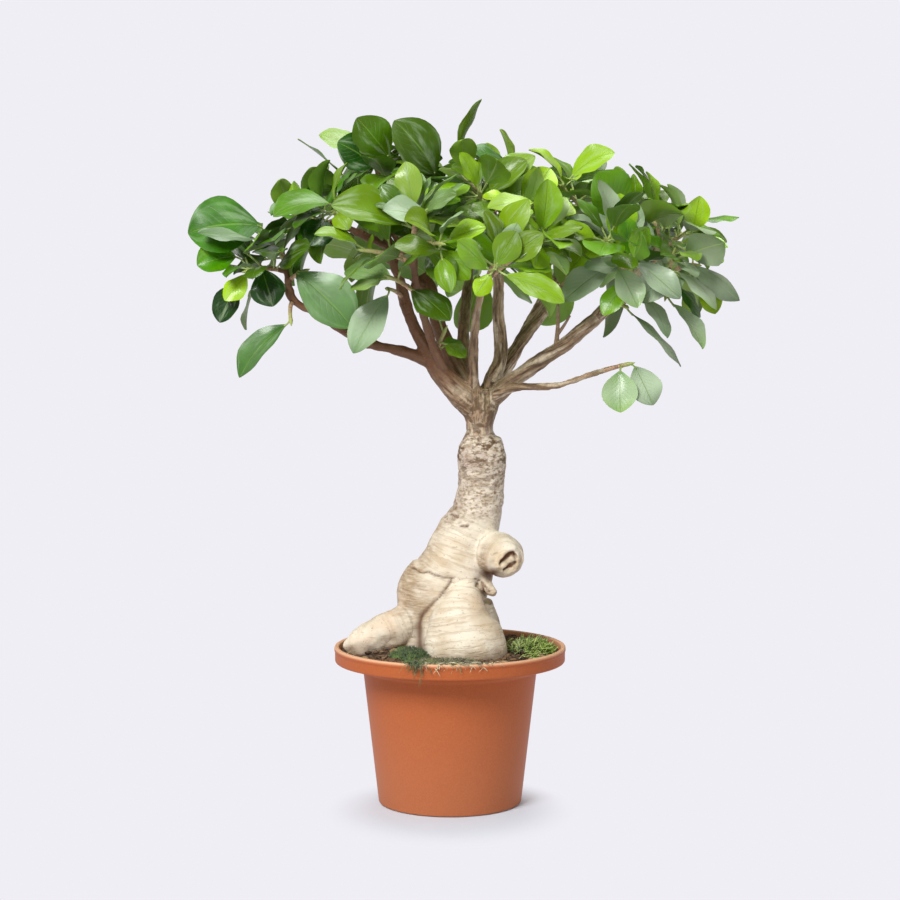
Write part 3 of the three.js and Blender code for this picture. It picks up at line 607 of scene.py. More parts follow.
@dataclass(frozen=True)
class Finish:
    """What every finish has: a name, how glossy its coat is and how deep its relief."""

    name: str
    coat: float = 0.0
    coat_rough: float = 0.2
    relief: float = 0.0004
    strength: float = 0.5
    sheen: float = 0.0
    specular: float = 0.5

    def surface(self, board: Board) -> Surface:
        """Colour, roughness and height of the surface, which each kind of finish gives."""
        raise NotImplementedError

    def placed(self, board: Board, group: bpy.types.NodeTree) -> Surface:
        """A shared group placed with this finish's own values.

        Args:
            board: The material's board.
            group: The group, whose inputs bear the names of the finish's fields.

        Returns:
            Sockets of colour, roughness and height.
        """
        values = {key.capitalize(): value for key, value in vars(self).items()}
        inputs = {socket.name for socket in group.interface.items_tree if socket.in_out == "INPUT"}
        values = {key: value for key, value in values.items() if key in inputs}
        made = board.node("ShaderNodeGroup", values, node_tree=group)
        return tuple(made.outputs[key] for key in SURFACE)

    @cache
    def material(self) -> bpy.types.Material:
        """The finished material, made once.

        Returns:
            A node material with one Principled shader.
        """
        made = bpy.data.materials.new(self.name)
        made.use_nodes = True
        board = Board(made.node_tree)
        colour, rough, height = self.surface(board)
        shader = made.node_tree.nodes["Principled BSDF"]
        values = {"Coat Weight": self.coat, "Coat Roughness": self.coat_rough,
                  "Sheen Weight": self.sheen, "Specular IOR Level": self.specular}
        for key, value in values.items():
            shader.inputs[key].default_value = value
        bump = {"Height": height, "Strength": self.strength, "Distance": self.relief}
        normal = board.node("ShaderNodeBump", bump).outputs[0]
        board.give(shader.inputs, **{"Base Color": colour, "Roughness": rough, "Normal": normal})
        return made


@dataclass(frozen=True, kw_only=True)
class Speckled(Finish):
    """A grainy finish between two colours."""

    light: Colour
    dark: Colour
    scale: float
    patches: float
    smooth: float
    rough: float
    tint: Colour | None = None

    def surface(self, board: Board) -> Surface:
        """Grain from the shared group; a tinted one turns to its tint by the painted value.

        Args:
            board: The material's board.

        Returns:
            Sockets of colour, roughness and height.
        """
        colour, rough, height = self.placed(board, speckle_group())
        if self.tint is not None:
            colour = board.mix(colour, (board.painted("tint"), self.tint))
        return colour, rough, height


@dataclass(frozen=True, kw_only=True)
class Foliage(Finish):
    """One face of a leaf."""

    deep: Colour
    fresh: Colour
    young: Colour
    # The colour of the painted sheen and gloss streaks that stand in for reflected light.
    silver: Colour
    vein: Colour
    veins: float

    def surface(self, board: Board) -> Surface:
        """The shared leaf group with this face's colours."""
        return self.placed(board, leaf_group())


@dataclass(frozen=True)
class Bark(Finish):
    """Bark that is cream and faintly ringed on the roots, pale grey and flecked on the
    trunk, and tan on the limbs."""

    cream: Colour = srgb(238, 228, 208)
    cream_shade: Colour = srgb(214, 196, 168)
    blush: Colour = srgb(224, 194, 164)
    ring: Colour = srgb(176, 146, 108)
    dash: Colour = srgb(150, 118, 86)
    # The colour of the roots' staining and of the shade painted on their undersides, left faces and the
    # nook by the stub.
    stain: Colour = srgb(150, 120, 86)
    grey: Colour = srgb(226, 214, 196)
    grey_shade: Colour = srgb(160, 138, 108)
    dusk: Colour = srgb(146, 120, 108)
    blotch: Colour = srgb(104, 80, 54)
    tan: Colour = srgb(194, 164, 130)
    tan_shade: Colour = srgb(96, 72, 50)
    tan_light: Colour = srgb(240, 222, 192)
    russet: Colour = srgb(114, 70, 42)
    moss: Colour = srgb(110, 108, 64)
    # The dark of cracks, pits, grooves and the damp foot: partly their own colour, partly painted shade in
    # the recesses and a painted shadow under the stub.
    crack: Colour = srgb(92, 52, 14)
    wood: Colour = srgb(226, 200, 150)

    def surface(self, board: Board) -> Surface:
        """Three barks blended by the painted zone, then bare wood, then the dark of cracks and hollows,
        which is partly painted shade in the recesses and a painted shadow under the stub.

        Args:
            board: The material's board.

        Returns:
            Sockets of colour, roughness and height.
        """
        zone = board.painted("zone")
        fine = board.grain(420.0, 4.0, 0.65)
        lines = self.lines(board)
        # Dark of cracks, pits, grooves, the damp foot and the painted shadow under the stub.
        dark = board.math("MAXIMUM", board.painted("crack"), board.painted("hollow"))
        colour = board.mix(
            self.root(board, lines), (board.step(zone, 0.0, 1.0), self.stem(board)),
            (board.step(zone, 1.0, 2.0), self.branch(board)),
            (board.painted("cut"), self.wood), (dark, self.crack),
        )
        return colour, board.step(fine, 0.2, 0.8, (0.55, 0.8)), board.plus(fine, board.times(lines, -0.4))

    def root(self, board: Board, lines: Socket) -> Socket:
        """Cream bark with soft shades, a blush here and there, faint rings, short dashes, and the painted
        staining and shade.

        Args:
            board: The material's board.
            lines: The mask of the rings.

        Returns:
            The colour's socket.
        """
        flat = board.stretch(1.0, 1.0, 5.0)
        soft = board.step(board.grain(38.0), 0.4, 0.7)
        blush = board.times(board.step(board.grain(22.0, 3.0, 0.6), 0.52, 0.74), 0.7)
        ringed = board.times(lines, board.minus(0.36, board.times(board.painted("plain"), 0.3)))
        mottle = board.step(board.grain(150.0, 3.0, 0.6, at=flat), 0.34, 0.62, (0.45, 1.0))
        dashes = board.times(board.step(board.grain(120.0, 2.0, at=flat), 0.64, 0.72), 0.4)
        specks = board.times(board.step(board.grain(650.0, 1.0), 0.68, 0.74), 0.5)
        # The painted staining and shade turn the cream to a darker tan.
        return board.mix(
            self.cream, (soft, self.cream_shade), (blush, self.blush), (ringed, self.ring),
            (board.times(board.painted("stain"), mottle), self.stain),
            (board.math("MAXIMUM", dashes, specks), self.dash),
        )

    def stem(self, board: Board) -> Socket:
        """Pale grey bark with level flecks, the painted staining and shade in a dusky colour, and darker
        blotches under the fork.

        Args:
            board: The material's board.

        Returns:
            The colour's socket.
        """
        flat = board.stretch(1.0, 1.0, 1.9)
        flecks = board.step(board.grain(350.0, 3.0, 0.6, at=flat), 0.34, 0.54)
        soft = board.times(board.step(board.grain(90.0, at=flat), 0.46, 0.66), 0.45)
        high = board.step(board.parts(board.place())[2], 0.214, 0.25, (0.2, 1.0))
        blotches = board.step(board.grain(125.0, 4.0, 0.65, at=flat), 0.47, 0.6)
        # The painted staining and shade turn the grey to a dusky colour.
        return board.mix(
            self.grey_shade, (flecks, self.grey), (soft, self.grey_shade),
            (board.times(board.painted("stain"), 0.6), self.dusk),
            (board.times(blotches, high), self.blotch),
        )

    def branch(self, board: Board) -> Socket:
        """Tan bark, streaked along the limb, with painted shade on its undersides, blotched at the fork,
        with some green on it.

        Args:
            board: The material's board.

        Returns:
            The colour's socket.
        """
        run = board.plus(board.painted("across_z"), board.times(board.painted("path"), 0.17))
        streak = board.joined(board.painted("across_x"), board.painted("across_y"), run)
        aside, _, height = board.parts(board.place())
        mottle = board.step(board.grain(0.4, 4.0, 0.65, at=streak), 0.36, 0.6)
        pale = board.times(board.step(board.grain(0.22, at=streak), 0.48, 0.62),
                           board.step(aside, 0.01, 0.03, (0.55, 0.95)))
        red = board.times(board.step(aside, 0.022, -0.004), board.step(height, 0.288, 0.306, (0.1, 0.9)))
        green = board.times(board.step(board.grain(45.0), 0.54, 0.7), 0.35)
        low = board.step(height, 0.292, 0.276, (0.35, 0.95))
        blotches = board.step(board.grain(170.0, 4.0, 0.7), 0.46, 0.58)
        # The painted value darkens the limbs' undersides: painted shade.
        return board.mix(
            self.tan_shade, (mottle, self.tan), (pale, self.tan_light), (red, self.russet),
            (green, self.moss), (board.times(board.painted("stain"), 0.5), self.tan_shade),
            (board.times(blotches, low), self.blotch),
        )

    def lines(self, board: Board) -> Socket:
        """Fine growth rings: noise squeezed along the root's own length.

        Args:
            board: The material's board.

        Returns:
            A mask that is 1 on a dark ring.
        """
        x, y, _ = board.parts(board.place())
        path = board.plus(board.painted("path"), board.times(board.grain(60.0, 2.0), 4.0))
        squeezed = board.joined(board.times(x, 30.0), board.times(y, 30.0), board.times(path, 0.5))
        return board.step(board.grain(1.0, 3.0, 0.6, at=squeezed), 0.48, 0.66)


TERRACOTTA = Speckled(
    "terracotta plastic", relief=0.00015, strength=0.25, specular=0.18,
    light=srgb(182, 98, 54), dark=srgb(174, 91, 49), scale=900.0, patches=0.1,
    smooth=0.42, rough=0.6, tint=srgb(238, 190, 152),
)
EARTH = Speckled(
    "potting soil", relief=0.0012, strength=0.9,
    light=srgb(122, 92, 66), dark=srgb(44, 30, 20), scale=520.0, patches=0.9,
    smooth=0.8, rough=1.0, tint=srgb(176, 148, 112),
)
MOSS_GREEN = Speckled(
    "cushion moss", relief=0.0006, strength=0.7, sheen=0.2,
    light=srgb(112, 142, 66), dark=srgb(46, 66, 40), scale=420.0, patches=1.2,
    smooth=0.6, rough=0.95, tint=srgb(176, 180, 112),
)
RIM_MOSS = Speckled(
    "rim moss", relief=0.0006, strength=0.7, sheen=0.2,
    light=srgb(104, 112, 58), dark=srgb(58, 50, 32), scale=420.0, patches=1.4,
    smooth=0.6, rough=0.95, tint=srgb(244, 232, 194),
)
FRESH_MOSS = Speckled(
    "fresh moss", relief=0.0006, strength=0.6, sheen=0.2,
    light=srgb(146, 180, 62), dark=srgb(50, 68, 24), scale=420.0, patches=1.2,
    smooth=0.5, rough=0.9, tint=srgb(214, 230, 140),
)
GREEN_WOOD = Speckled(
    "young twig", relief=0.0003, strength=0.5,
    light=srgb(206, 172, 138), dark=srgb(150, 114, 86), scale=700.0, patches=0.8,
    smooth=0.5, rough=0.75, tint=srgb(160, 172, 96),
)
PETIOLE = Speckled(
    "leaf stalk", relief=0.0002, strength=0.3,
    light=srgb(170, 188, 110), dark=srgb(128, 150, 78), scale=500.0, patches=0.6,
    smooth=0.35, rough=0.55,
)
# Silver on each face is the colour of its painted sheen and painted gloss streaks.
LEAF_TOP = Foliage(
    "leaf upper face", coat=0.42, coat_rough=0.22, relief=0.0008, strength=0.7, specular=0.2,
    deep=srgb(12, 52, 0), fresh=srgb(68, 134, 0), young=srgb(168, 208, 24),
    silver=srgb(172, 192, 160), vein=srgb(124, 164, 60), veins=0.35,
)
LEAF_UNDER = Foliage(
    "leaf lower face", coat=0.05, coat_rough=0.4, relief=0.0003, strength=0.4, specular=0.3,
    deep=srgb(52, 94, 26), fresh=srgb(98, 142, 44), young=srgb(168, 202, 64),
    silver=srgb(140, 156, 124), vein=srgb(160, 180, 104), veins=0.6,
)
BARK = Bark("ringed bark", relief=0.0009, strength=0.7)


# Pot and soil


@dataclass
class Pot:
    """A moulded pot: a tapered body under a wide overhanging collar, with drain holes."""

    foot_radius: float = 50.4
    body_top_radius: float = 61.2
    body_top: float = 94.0
    collar_underside: float = 100.0
    collar_radius: float = 81.0
    lip_top: float = 111.0
    wall: float = 2.8
    drain_holes: int = 4
    drain_radius: float = 4.5
    drain_circle: float = 30.0
    around: int = 160

    def profile(self) -> Array:
        """The section of the wall from the underside's middle, out, over the lip and in.

        Returns:
            Radius and height of each point, with soft corners.
        """
        body, collar, wall, lip = self.body_top_radius, self.collar_radius, self.wall, self.lip_top
        dish = self.collar_underside + wall
        rows = np.array([
            # radius, height, rounding
            (0, 0, 0), (self.foot_radius - 3, 0, 0), (self.foot_radius, 0, 1.2),
            (body, self.body_top, 0.8), (body + 1.8, self.body_top + 2, 0.8),
            (body + 2.4, self.collar_underside, 1.0), (collar, self.collar_underside, 1.6),
            (collar, lip - 3.6, 0.7), (collar + 0.5, lip - 2.8, 0.7),
            (collar + 0.3, lip, 1.1), (collar - wall, lip, 1.0),
            (collar - wall - 0.9, dish, 1.2), (body - 0.6, dish, 1.0),
            (body - wall, self.body_top, 0.8), (self.foot_radius - wall + 0.4, wall, 1.5), (0, wall, 0),
        ])
        return rounded(rows[:, :2], rows[:, 2])

    def drains(self) -> bpy.types.Object:
        """Round bars that stand where the floor's drain holes go.

        Returns:
            One object of all bars, used only to cut.
        """
        bars, size = [], np.full(2, self.drain_radius)
        for k in range(self.drain_holes):
            angle = 2 * math.pi * k / self.drain_holes
            x, y = self.drain_circle * math.cos(angle), self.drain_circle * math.sin(angle)
            path = table([(x, y, -self.wall), (x, y, 2 * self.wall)])
            bars.append(closed_tubes(tube_rings(path, size, size, RIGHT, 24)))
        return make_mesh("drain_bars", bars, [])

    def build(self) -> None:
        """The pot with its drain holes cut, and the top of the lip painted paler."""
        patch = lathe(self.profile(), self.around)
        height = patch.points[:, 2]
        radius = np.hypot(patch.points[:, 0], patch.points[:, 1])
        lip = smooth_step(self.lip_top - 1.7, self.lip_top - 0.6, height)
        scuff = smooth_step(3.0, 0.0, height) * smooth_step(self.foot_radius - 4, self.foot_radius, radius)
        patch.paint["tint"] = 0.8 * lip + 0.15 * scuff
        piece = make_mesh("plastic_pot", [patch], [TERRACOTTA.material()])
        bars = self.drains()
        cut = piece.modifiers.new("drains", "BOOLEAN")
        cut.operation, cut.solver, cut.object = "DIFFERENCE", "EXACT", bars
        apply_modifiers(piece)
        bpy.data.objects.remove(bars)
        piece.data.set_sharp_from_angle(angle=math.radians(40))
        settle(piece, Slot.POT, "pot")


def apply_modifiers(piece: bpy.types.Object) -> None:
    """Makes what a piece's modifiers show its own mesh, and clears them.

    Args:
        piece: The piece.
    """
    graph = bpy.context.evaluated_depsgraph_get()
    before = piece.data
    piece.data = bpy.data.meshes.new_from_object(piece.evaluated_get(graph))
    piece.data.name = piece.name
    piece.modifiers.clear()
    bpy.data.meshes.remove(before)


@dataclass
class Soil:
    """Potting soil: a low mound of crumbs that fills the pot."""

    radius: float = 77.0
    rim_level: float = 107.5
    mound: float = 5.0
    edge: float = 76.3
    edge_level: float = 105.0
    rings: int = 64
    around: int = 200
    crumbs: int = 520

    def top(self, x: Array, y: Array) -> Array:
        """Height of the soil: a mound that falls with the square of the radius, plus lumps.

        Args:
            x: Places to the right.
            y: Places to the back.

        Returns:
            Heights in millimetres.
        """
        share = (x * x + y * y) / self.radius**2
        lumps = 0.7 * np.sin(x * 0.19 + 1) * np.sin(y * 0.17 + 2)
        return self.rim_level + self.mound * (1 - share) + lumps * (1 - share * 0.6)

    def spots(self, x: Array, y: Array, lift: Array | float) -> Array:
        """Points that lie so far above the soil."""
        return np.stack([x, y, self.top(x, y) + lift], -1)

    def body(self) -> Patch:
        """The filling, turned from its floor to its rim, with a crumbly surface.

        Returns:
            A closed patch.
        """
        rim = self.edge
        surface = np.stack([np.linspace(rim, 0, self.rings), np.full(self.rings, self.rim_level)], -1)
        below = table([
            # the inside of the pot's floor, wall and dish: radius, height
            (0, 3.1), (47.3, 3.1), (58.1, 94), (59.7, 103.2), (rim, 103.2), (rim, self.edge_level),
        ])
        patch = lathe(np.concatenate([below, surface]), self.around)
        p = patch.points
        shown = p[:, 2] > self.edge_level + 0.1
        flat = p * [1, 1, 0]
        crumbs = 1.3 * (0.5 - nearest_seed(flat, 4.2, 3)) + 0.6 * noise(flat, 2.0, 5)
        away = smooth_step(rim, rim - 5, np.hypot(p[:, 0], p[:, 1]))
        p[shown, 2] = (self.top(p[:, 0], p[:, 1]) + crumbs * (0.35 + 0.65 * away))[shown]
        patch.paint["tint"] = 0.25 * smooth_step(0.1, 0.9, crumbs)
        return patch

    def grit(self) -> Patch:
        """Loose crumbs and chips of bark: squashed six-sided stones, seeded.

        Returns:
            A patch of small closed solids.
        """
        rng = np.random.default_rng(21)
        n = self.crumbs
        radius, angle = 74 * np.sqrt(rng.uniform(0.1, 1, n)), rng.uniform(0, 2 * math.pi, n)
        x, y = radius * np.cos(angle), radius * np.sin(angle)
        middle = self.spots(x, y, 0.6)
        size = rng.uniform(0.8, 2.3, (n, 1)) * rng.uniform([1.0, 0.6, 0.4], [1.8, 1.0, 0.7], (n, 3))
        turn = rng.uniform(0, math.pi, n)
        around, rings = 6, 4
        level = np.array([-0.9, -0.35, 0.4, 0.9])
        out = np.sqrt(1 - level**2)[:, None] * (1 + 0.25 * rng.uniform(-1, 1, (n, rings, around)))
        a = turns(around)
        local = np.stack([out * np.cos(a), out * np.sin(a), np.broadcast_to(level[:, None], out.shape)], -1)
        local = local * size[:, None, None, :]
        c, s = np.cos(turn)[:, None, None], np.sin(turn)[:, None, None]
        lx, ly = local[..., 0] * c - local[..., 1] * s, local[..., 0] * s + local[..., 1] * c
        points = np.stack([lx, ly, local[..., 2]], -1) + middle[:, None, None, :]
        return closed_tubes(points, tint=np.repeat(rng.uniform(0, 1, n) ** 3, rings * around))

    def build(self) -> None:
        """The soil with its loose crumbs."""
        settle(make_mesh("soil_fill", [self.body(), self.grit()], [EARTH.material()]), Slot.SOIL, "soil")


# Wood

# Roots and trunk: x, y, z, half width, half depth, from below the soil upwards.
TRUNK = table([
    (2, 0, 68, 24, 22), (1, 0, 90, 33, 30), (0, 0, 109, 36, 33), (-1, 1, 126, 35, 32),
    (-3.5, 1, 140.5, 33.8, 30.3), (-2.5, 1, 151, 32.4, 28.5), (0.6, 0.5, 156.5, 28.2, 26.8),
    (3.6, 0, 163, 27.4, 25.8), (7, 0, 172, 25.2, 24), (10.4, 0, 182.5, 23.4, 22),
    (14.4, 0, 193, 21, 19.5), (18.8, 0, 203.5, 18.1, 17.5), (21, 0, 214, 16.9, 16.5),
    (22.3, 0, 228, 16.2, 16), (22.4, 0, 238.5, 17.1, 16.5), (21.9, 0, 249, 16.8, 16),
    (22.1, 0, 253.5, 15.2, 14), (21.3, 0, 257.5, 10.4, 10.5), (20.8, 0, 266.5, 9.6, 10),
    (21.2, 0, 277, 12, 11.5), (21.2, 1, 285, 14, 12), (21.5, 1, 292, 11, 9),
])
TUBERS = {key: table(rows) for key, rows in {
    "front": [
        (10, -12, 74, 14, 11), (11, -22, 88, 22, 16), (11, -31, 102, 28, 20),
        (10.5, -34, 112.5, 29.4, 21.5), (9.4, -33, 123, 27.6, 20), (8, -31, 133.5, 22.7, 17),
        (9, -27, 144, 16.5, 13), (11, -22, 153, 10, 9), (12, -17, 159, 4.5, 4.5),
    ],
    "left": [
        (-8, -6, 140, 13, 13), (-22, -8, 131, 14.5, 14), (-36, -10, 124.8, 14.6, 14.5),
        (-49, -12, 119.4, 14.2, 14), (-61, -13, 114.4, 12, 12), (-69, -13, 111.5, 8, 8),
        (-72.5, -13, 108, 4, 4),
    ],
    "backLeft": [
        (-6, 8, 142, 14, 14), (-19, 23, 130, 14.5, 14.5), (-29, 35, 116, 12, 12),
        (-33, 39, 101, 6.5, 6.5), (-32, 37, 88, 4, 4),
    ],
    "backRight": [
        (8, 10, 140, 13, 13), (20, 26, 128, 13.5, 13.5), (27, 36, 114, 11, 11),
        (30, 39, 100, 6.5, 6.5), (29, 37, 86, 4, 4),
    ],
}.items()}
STUB = table([
    (20, -2, 180.5, 13, 13), (28, -11, 179.5, 14.2, 14.2), (34.5, -20, 178, 14.8, 14.8),
    (37.8, -29, 176, 13.6, 13.6), (38.8, -34.5, 174.8, 10, 10),
])
STUB_DOME = table([(39.3, -37.2, 174.3, 6.6, 6.6), (39.5, -38.2, 174.1, 2.2, 2.2)])
SHOULDER = table([
    (14, 0, 243, 9.6, 10), (15, 0, 252, 8.2, 9), (16.6, 0, 260, 5.8, 7), (18.4, 0, 268, 4, 4),
])
SNAG = table([(20, -14, 158, 5, 5), (27, -19, 154, 4.4, 4.4), (32, -22, 150, 3, 3)])

# Limbs: x, y, z, radius from the fork outwards. Shoots name them.
LIMBS = {key: table(rows) for key, rows in {
    "leftLimb": [(18.5, 0, 278.5, 10.2), (5, -5, 291, 9.4), (-5, -9, 302, 8), (-12, -12, 310.5, 6.4)],
    "leftBough": [
        (-8, -10, 308, 5), (-30, -16, 318, 4.2), (-52, -20, 323, 3.7), (-64, -22, 328, 3.4),
        (-80, -24, 338, 3.2), (-98, -25, 348, 3), (-108, -26, 355, 2.8), (-111, -24, 367, 2.5),
        (-113, -21, 380, 2.2),
    ],
    "leftRiser": [
        (-8, -11, 306, 5.4), (-22, -14, 330, 4.7), (-29, -16, 347, 4.2), (-34, -14, 365, 3.7),
        (-42, -8, 392, 3.1), (-48, -2, 420, 2.6), (-50, 4, 440, 2.2),
    ],
    "leftShelf": [(-41, -9, 388, 2.8), (-62, -6, 400, 2.5), (-84, -3, 407, 2.2)],
    "leftFront": [
        (-2, -9, 300, 4), (-11, -24, 322, 3.3), (-17, -37, 340, 2.9), (-22, -48, 358, 2.6),
        (-24, -58, 378, 2.4), (-24, -66, 396, 2.1),
    ],
    "backLeft": [
        (14, 4, 284, 8), (2, 14, 312, 6.6), (-8, 24, 336, 5.6), (-14, 32, 361, 4.6),
        (-22, 42, 378, 3.8), (-34, 56, 392, 3), (-44, 68, 402, 2.4),
    ],
    "backShelf": [(-14, 32, 359, 3.6), (-40, 36, 380, 3), (-66, 38, 395, 2.6), (-88, 36, 402, 2.2)],
    "centreStem": [
        (24, 1, 283, 7.2), (28.5, 2, 296, 6), (35, 4, 311, 5.2), (35.5, 6, 326, 4.7),
        (33.5, 7, 345, 4.3), (34, 6, 362, 4), (32.5, 3, 380, 3.6), (30, 0, 398, 3.1),
        (26, -2, 416, 2.6),
    ],
    "centreFront": [
        (20, -3, 284, 5), (16, -7, 296, 4.2), (16, -13, 314, 3.5), (17, -23, 333, 3.1),
        (19, -38, 350, 2.8), (23, -54, 364, 2.5), (27, -68, 374, 2.2),
    ],
    "rightLimb": [
        (26, -1, 283, 7.6), (45, -6, 298.5, 5.8), (62, -12, 311.5, 5.4), (80, -18, 324, 5.2),
        (98, -24, 340, 5), (110, -27, 352, 4.4), (122, -28, 365, 3.6), (134, -26, 378, 3),
        (143, -22, 391, 2.4),
    ],
    "rightShelf": [
        (100, -25, 342, 4), (113, -32, 351, 3.3), (128, -38, 360, 2.9), (144, -40, 368, 2.5),
        (156, -34, 376, 2.2),
    ],
    "rightBack": [
        (27, 5, 286, 6), (35, 13, 300, 5.4), (44, 22, 314, 5), (54, 31, 329, 4.5),
        (66, 38, 344, 4.1), (76, 43, 356, 3.7), (88, 48, 370, 3.3), (101, 53, 386, 2.8),
        (110, 56, 402, 2.3),
    ],
    "rightLow": [
        (28, -4, 286, 4.4), (44, -13, 293.2, 2.9), (57, -18, 294.2, 2.5), (74, -27, 295.6, 2.2),
        (90, -34, 301.5, 2), (106, -40, 307, 1.8),
    ],
    "backMid": [
        (19, 7, 284, 6.4), (14, 13, 296, 5.8), (10, 24, 309, 5.3), (10, 46, 332, 4.5),
        (12, 70, 356, 3.8), (14, 90, 370, 3.1), (12, 106, 384, 2.4),
    ],
    "backRight": [
        (25, 8, 284, 6), (32, 14, 295, 5.5), (42, 30, 308, 4.9), (52, 50, 326, 4.2),
        (62, 72, 344, 3.6), (72, 92, 360, 3), (80, 108, 373, 2.4),
    ],
}.items()}

# Cracks and creases on the front of the roots, painted dark, partly as painted shade in the creases: x, z
# and half width along each.
CRACKS = [table(rows) for rows in [
    [(-27, 167.4, 0.6), (-14, 165, 0.8), (-3, 162.8, 0.8), (3, 161.4, 0.5)],
    [(0.5, 161.6, 0.8), (-2.1, 155.8, 1.0), (-10.3, 146.9, 1.1), (-17.1, 138.7, 1.3),
     (-21.2, 131.8, 2.2), (-21.6, 123, 3.2), (-21, 114, 4.2)],
    [(21.2, 159.2, 0.8), (24.7, 149, 1.3), (28.8, 142.1, 1.0)],
    [(17, 161, 0.5), (22, 158.6, 0.8), (27, 153, 0.6)],
    [(18.5, 157.2, 0.8), (19.5, 156.2, 0.5)],
    [(0.5, 204.4, 0.5), (3.5, 203.8, 0.8), (6, 203.4, 0.5)],
    [(7.5, 197.4, 0.6), (10, 197, 1.0), (12.8, 197.6, 0.5)],
]]
# Grooves in the stub's worn end, painted dark as shade: x and z from its tip, and half width.
STUB_GROOVES = [table(rows) for rows in [
    [(-4.6, -1.2, 1.3), (-1.8, 1.2, 1.7), (1.2, 4.2, 2.1), (3.6, 5.4, 2.0), (6.8, 3.2, 1.3)],
    [(-1.8, -5.6, 0.9), (1.4, -4.4, 1.2), (4.0, -3.2, 1.7), (6.6, -1.4, 1.3)],
]]
# Bare twiglets on the right limb: x, y, z, radius.
TWIGLETS = [table(rows) for rows in [
    [(73, -17, 321, 1.9), (74, -19, 332, 1.5), (74.4, -20, 343, 1.2), (74.2, -20.5, 352, 0.7)],
    [(73.8, -18.6, 330, 1.3), (78, -20.5, 336, 1.1), (82.6, -22, 343.5, 0.7)],
]]


def bell(*parts: tuple[Array, float, float]) -> Array:
    """A bell curve: e to minus the sum of ((x - middle) / width)^2 over x, middle, width."""
    return np.exp(-sum(((x - middle) / width) ** 2 for x, middle, width in parts))


def near_lines(flat: Array, lines: list[Array]) -> Array:
    """Nearness to lines: a bell curve over the distance, as wide as each line says.

    Args:
        flat: Points as (n, 2).
        lines: For each line its places and half widths as (m, 3).

    Returns:
        1 on a line and 0 away from it.
    """
    made = np.zeros(len(flat))
    for rows in lines:
        line = along(rows, np.linspace(0, 1, 40))
        apart = lengths(flat[:, None] - line[None, :, :2])
        width = line[apart.argmin(1), 2]
        made = np.maximum(made, bell((apart.min(1), 0, width)))
    return made


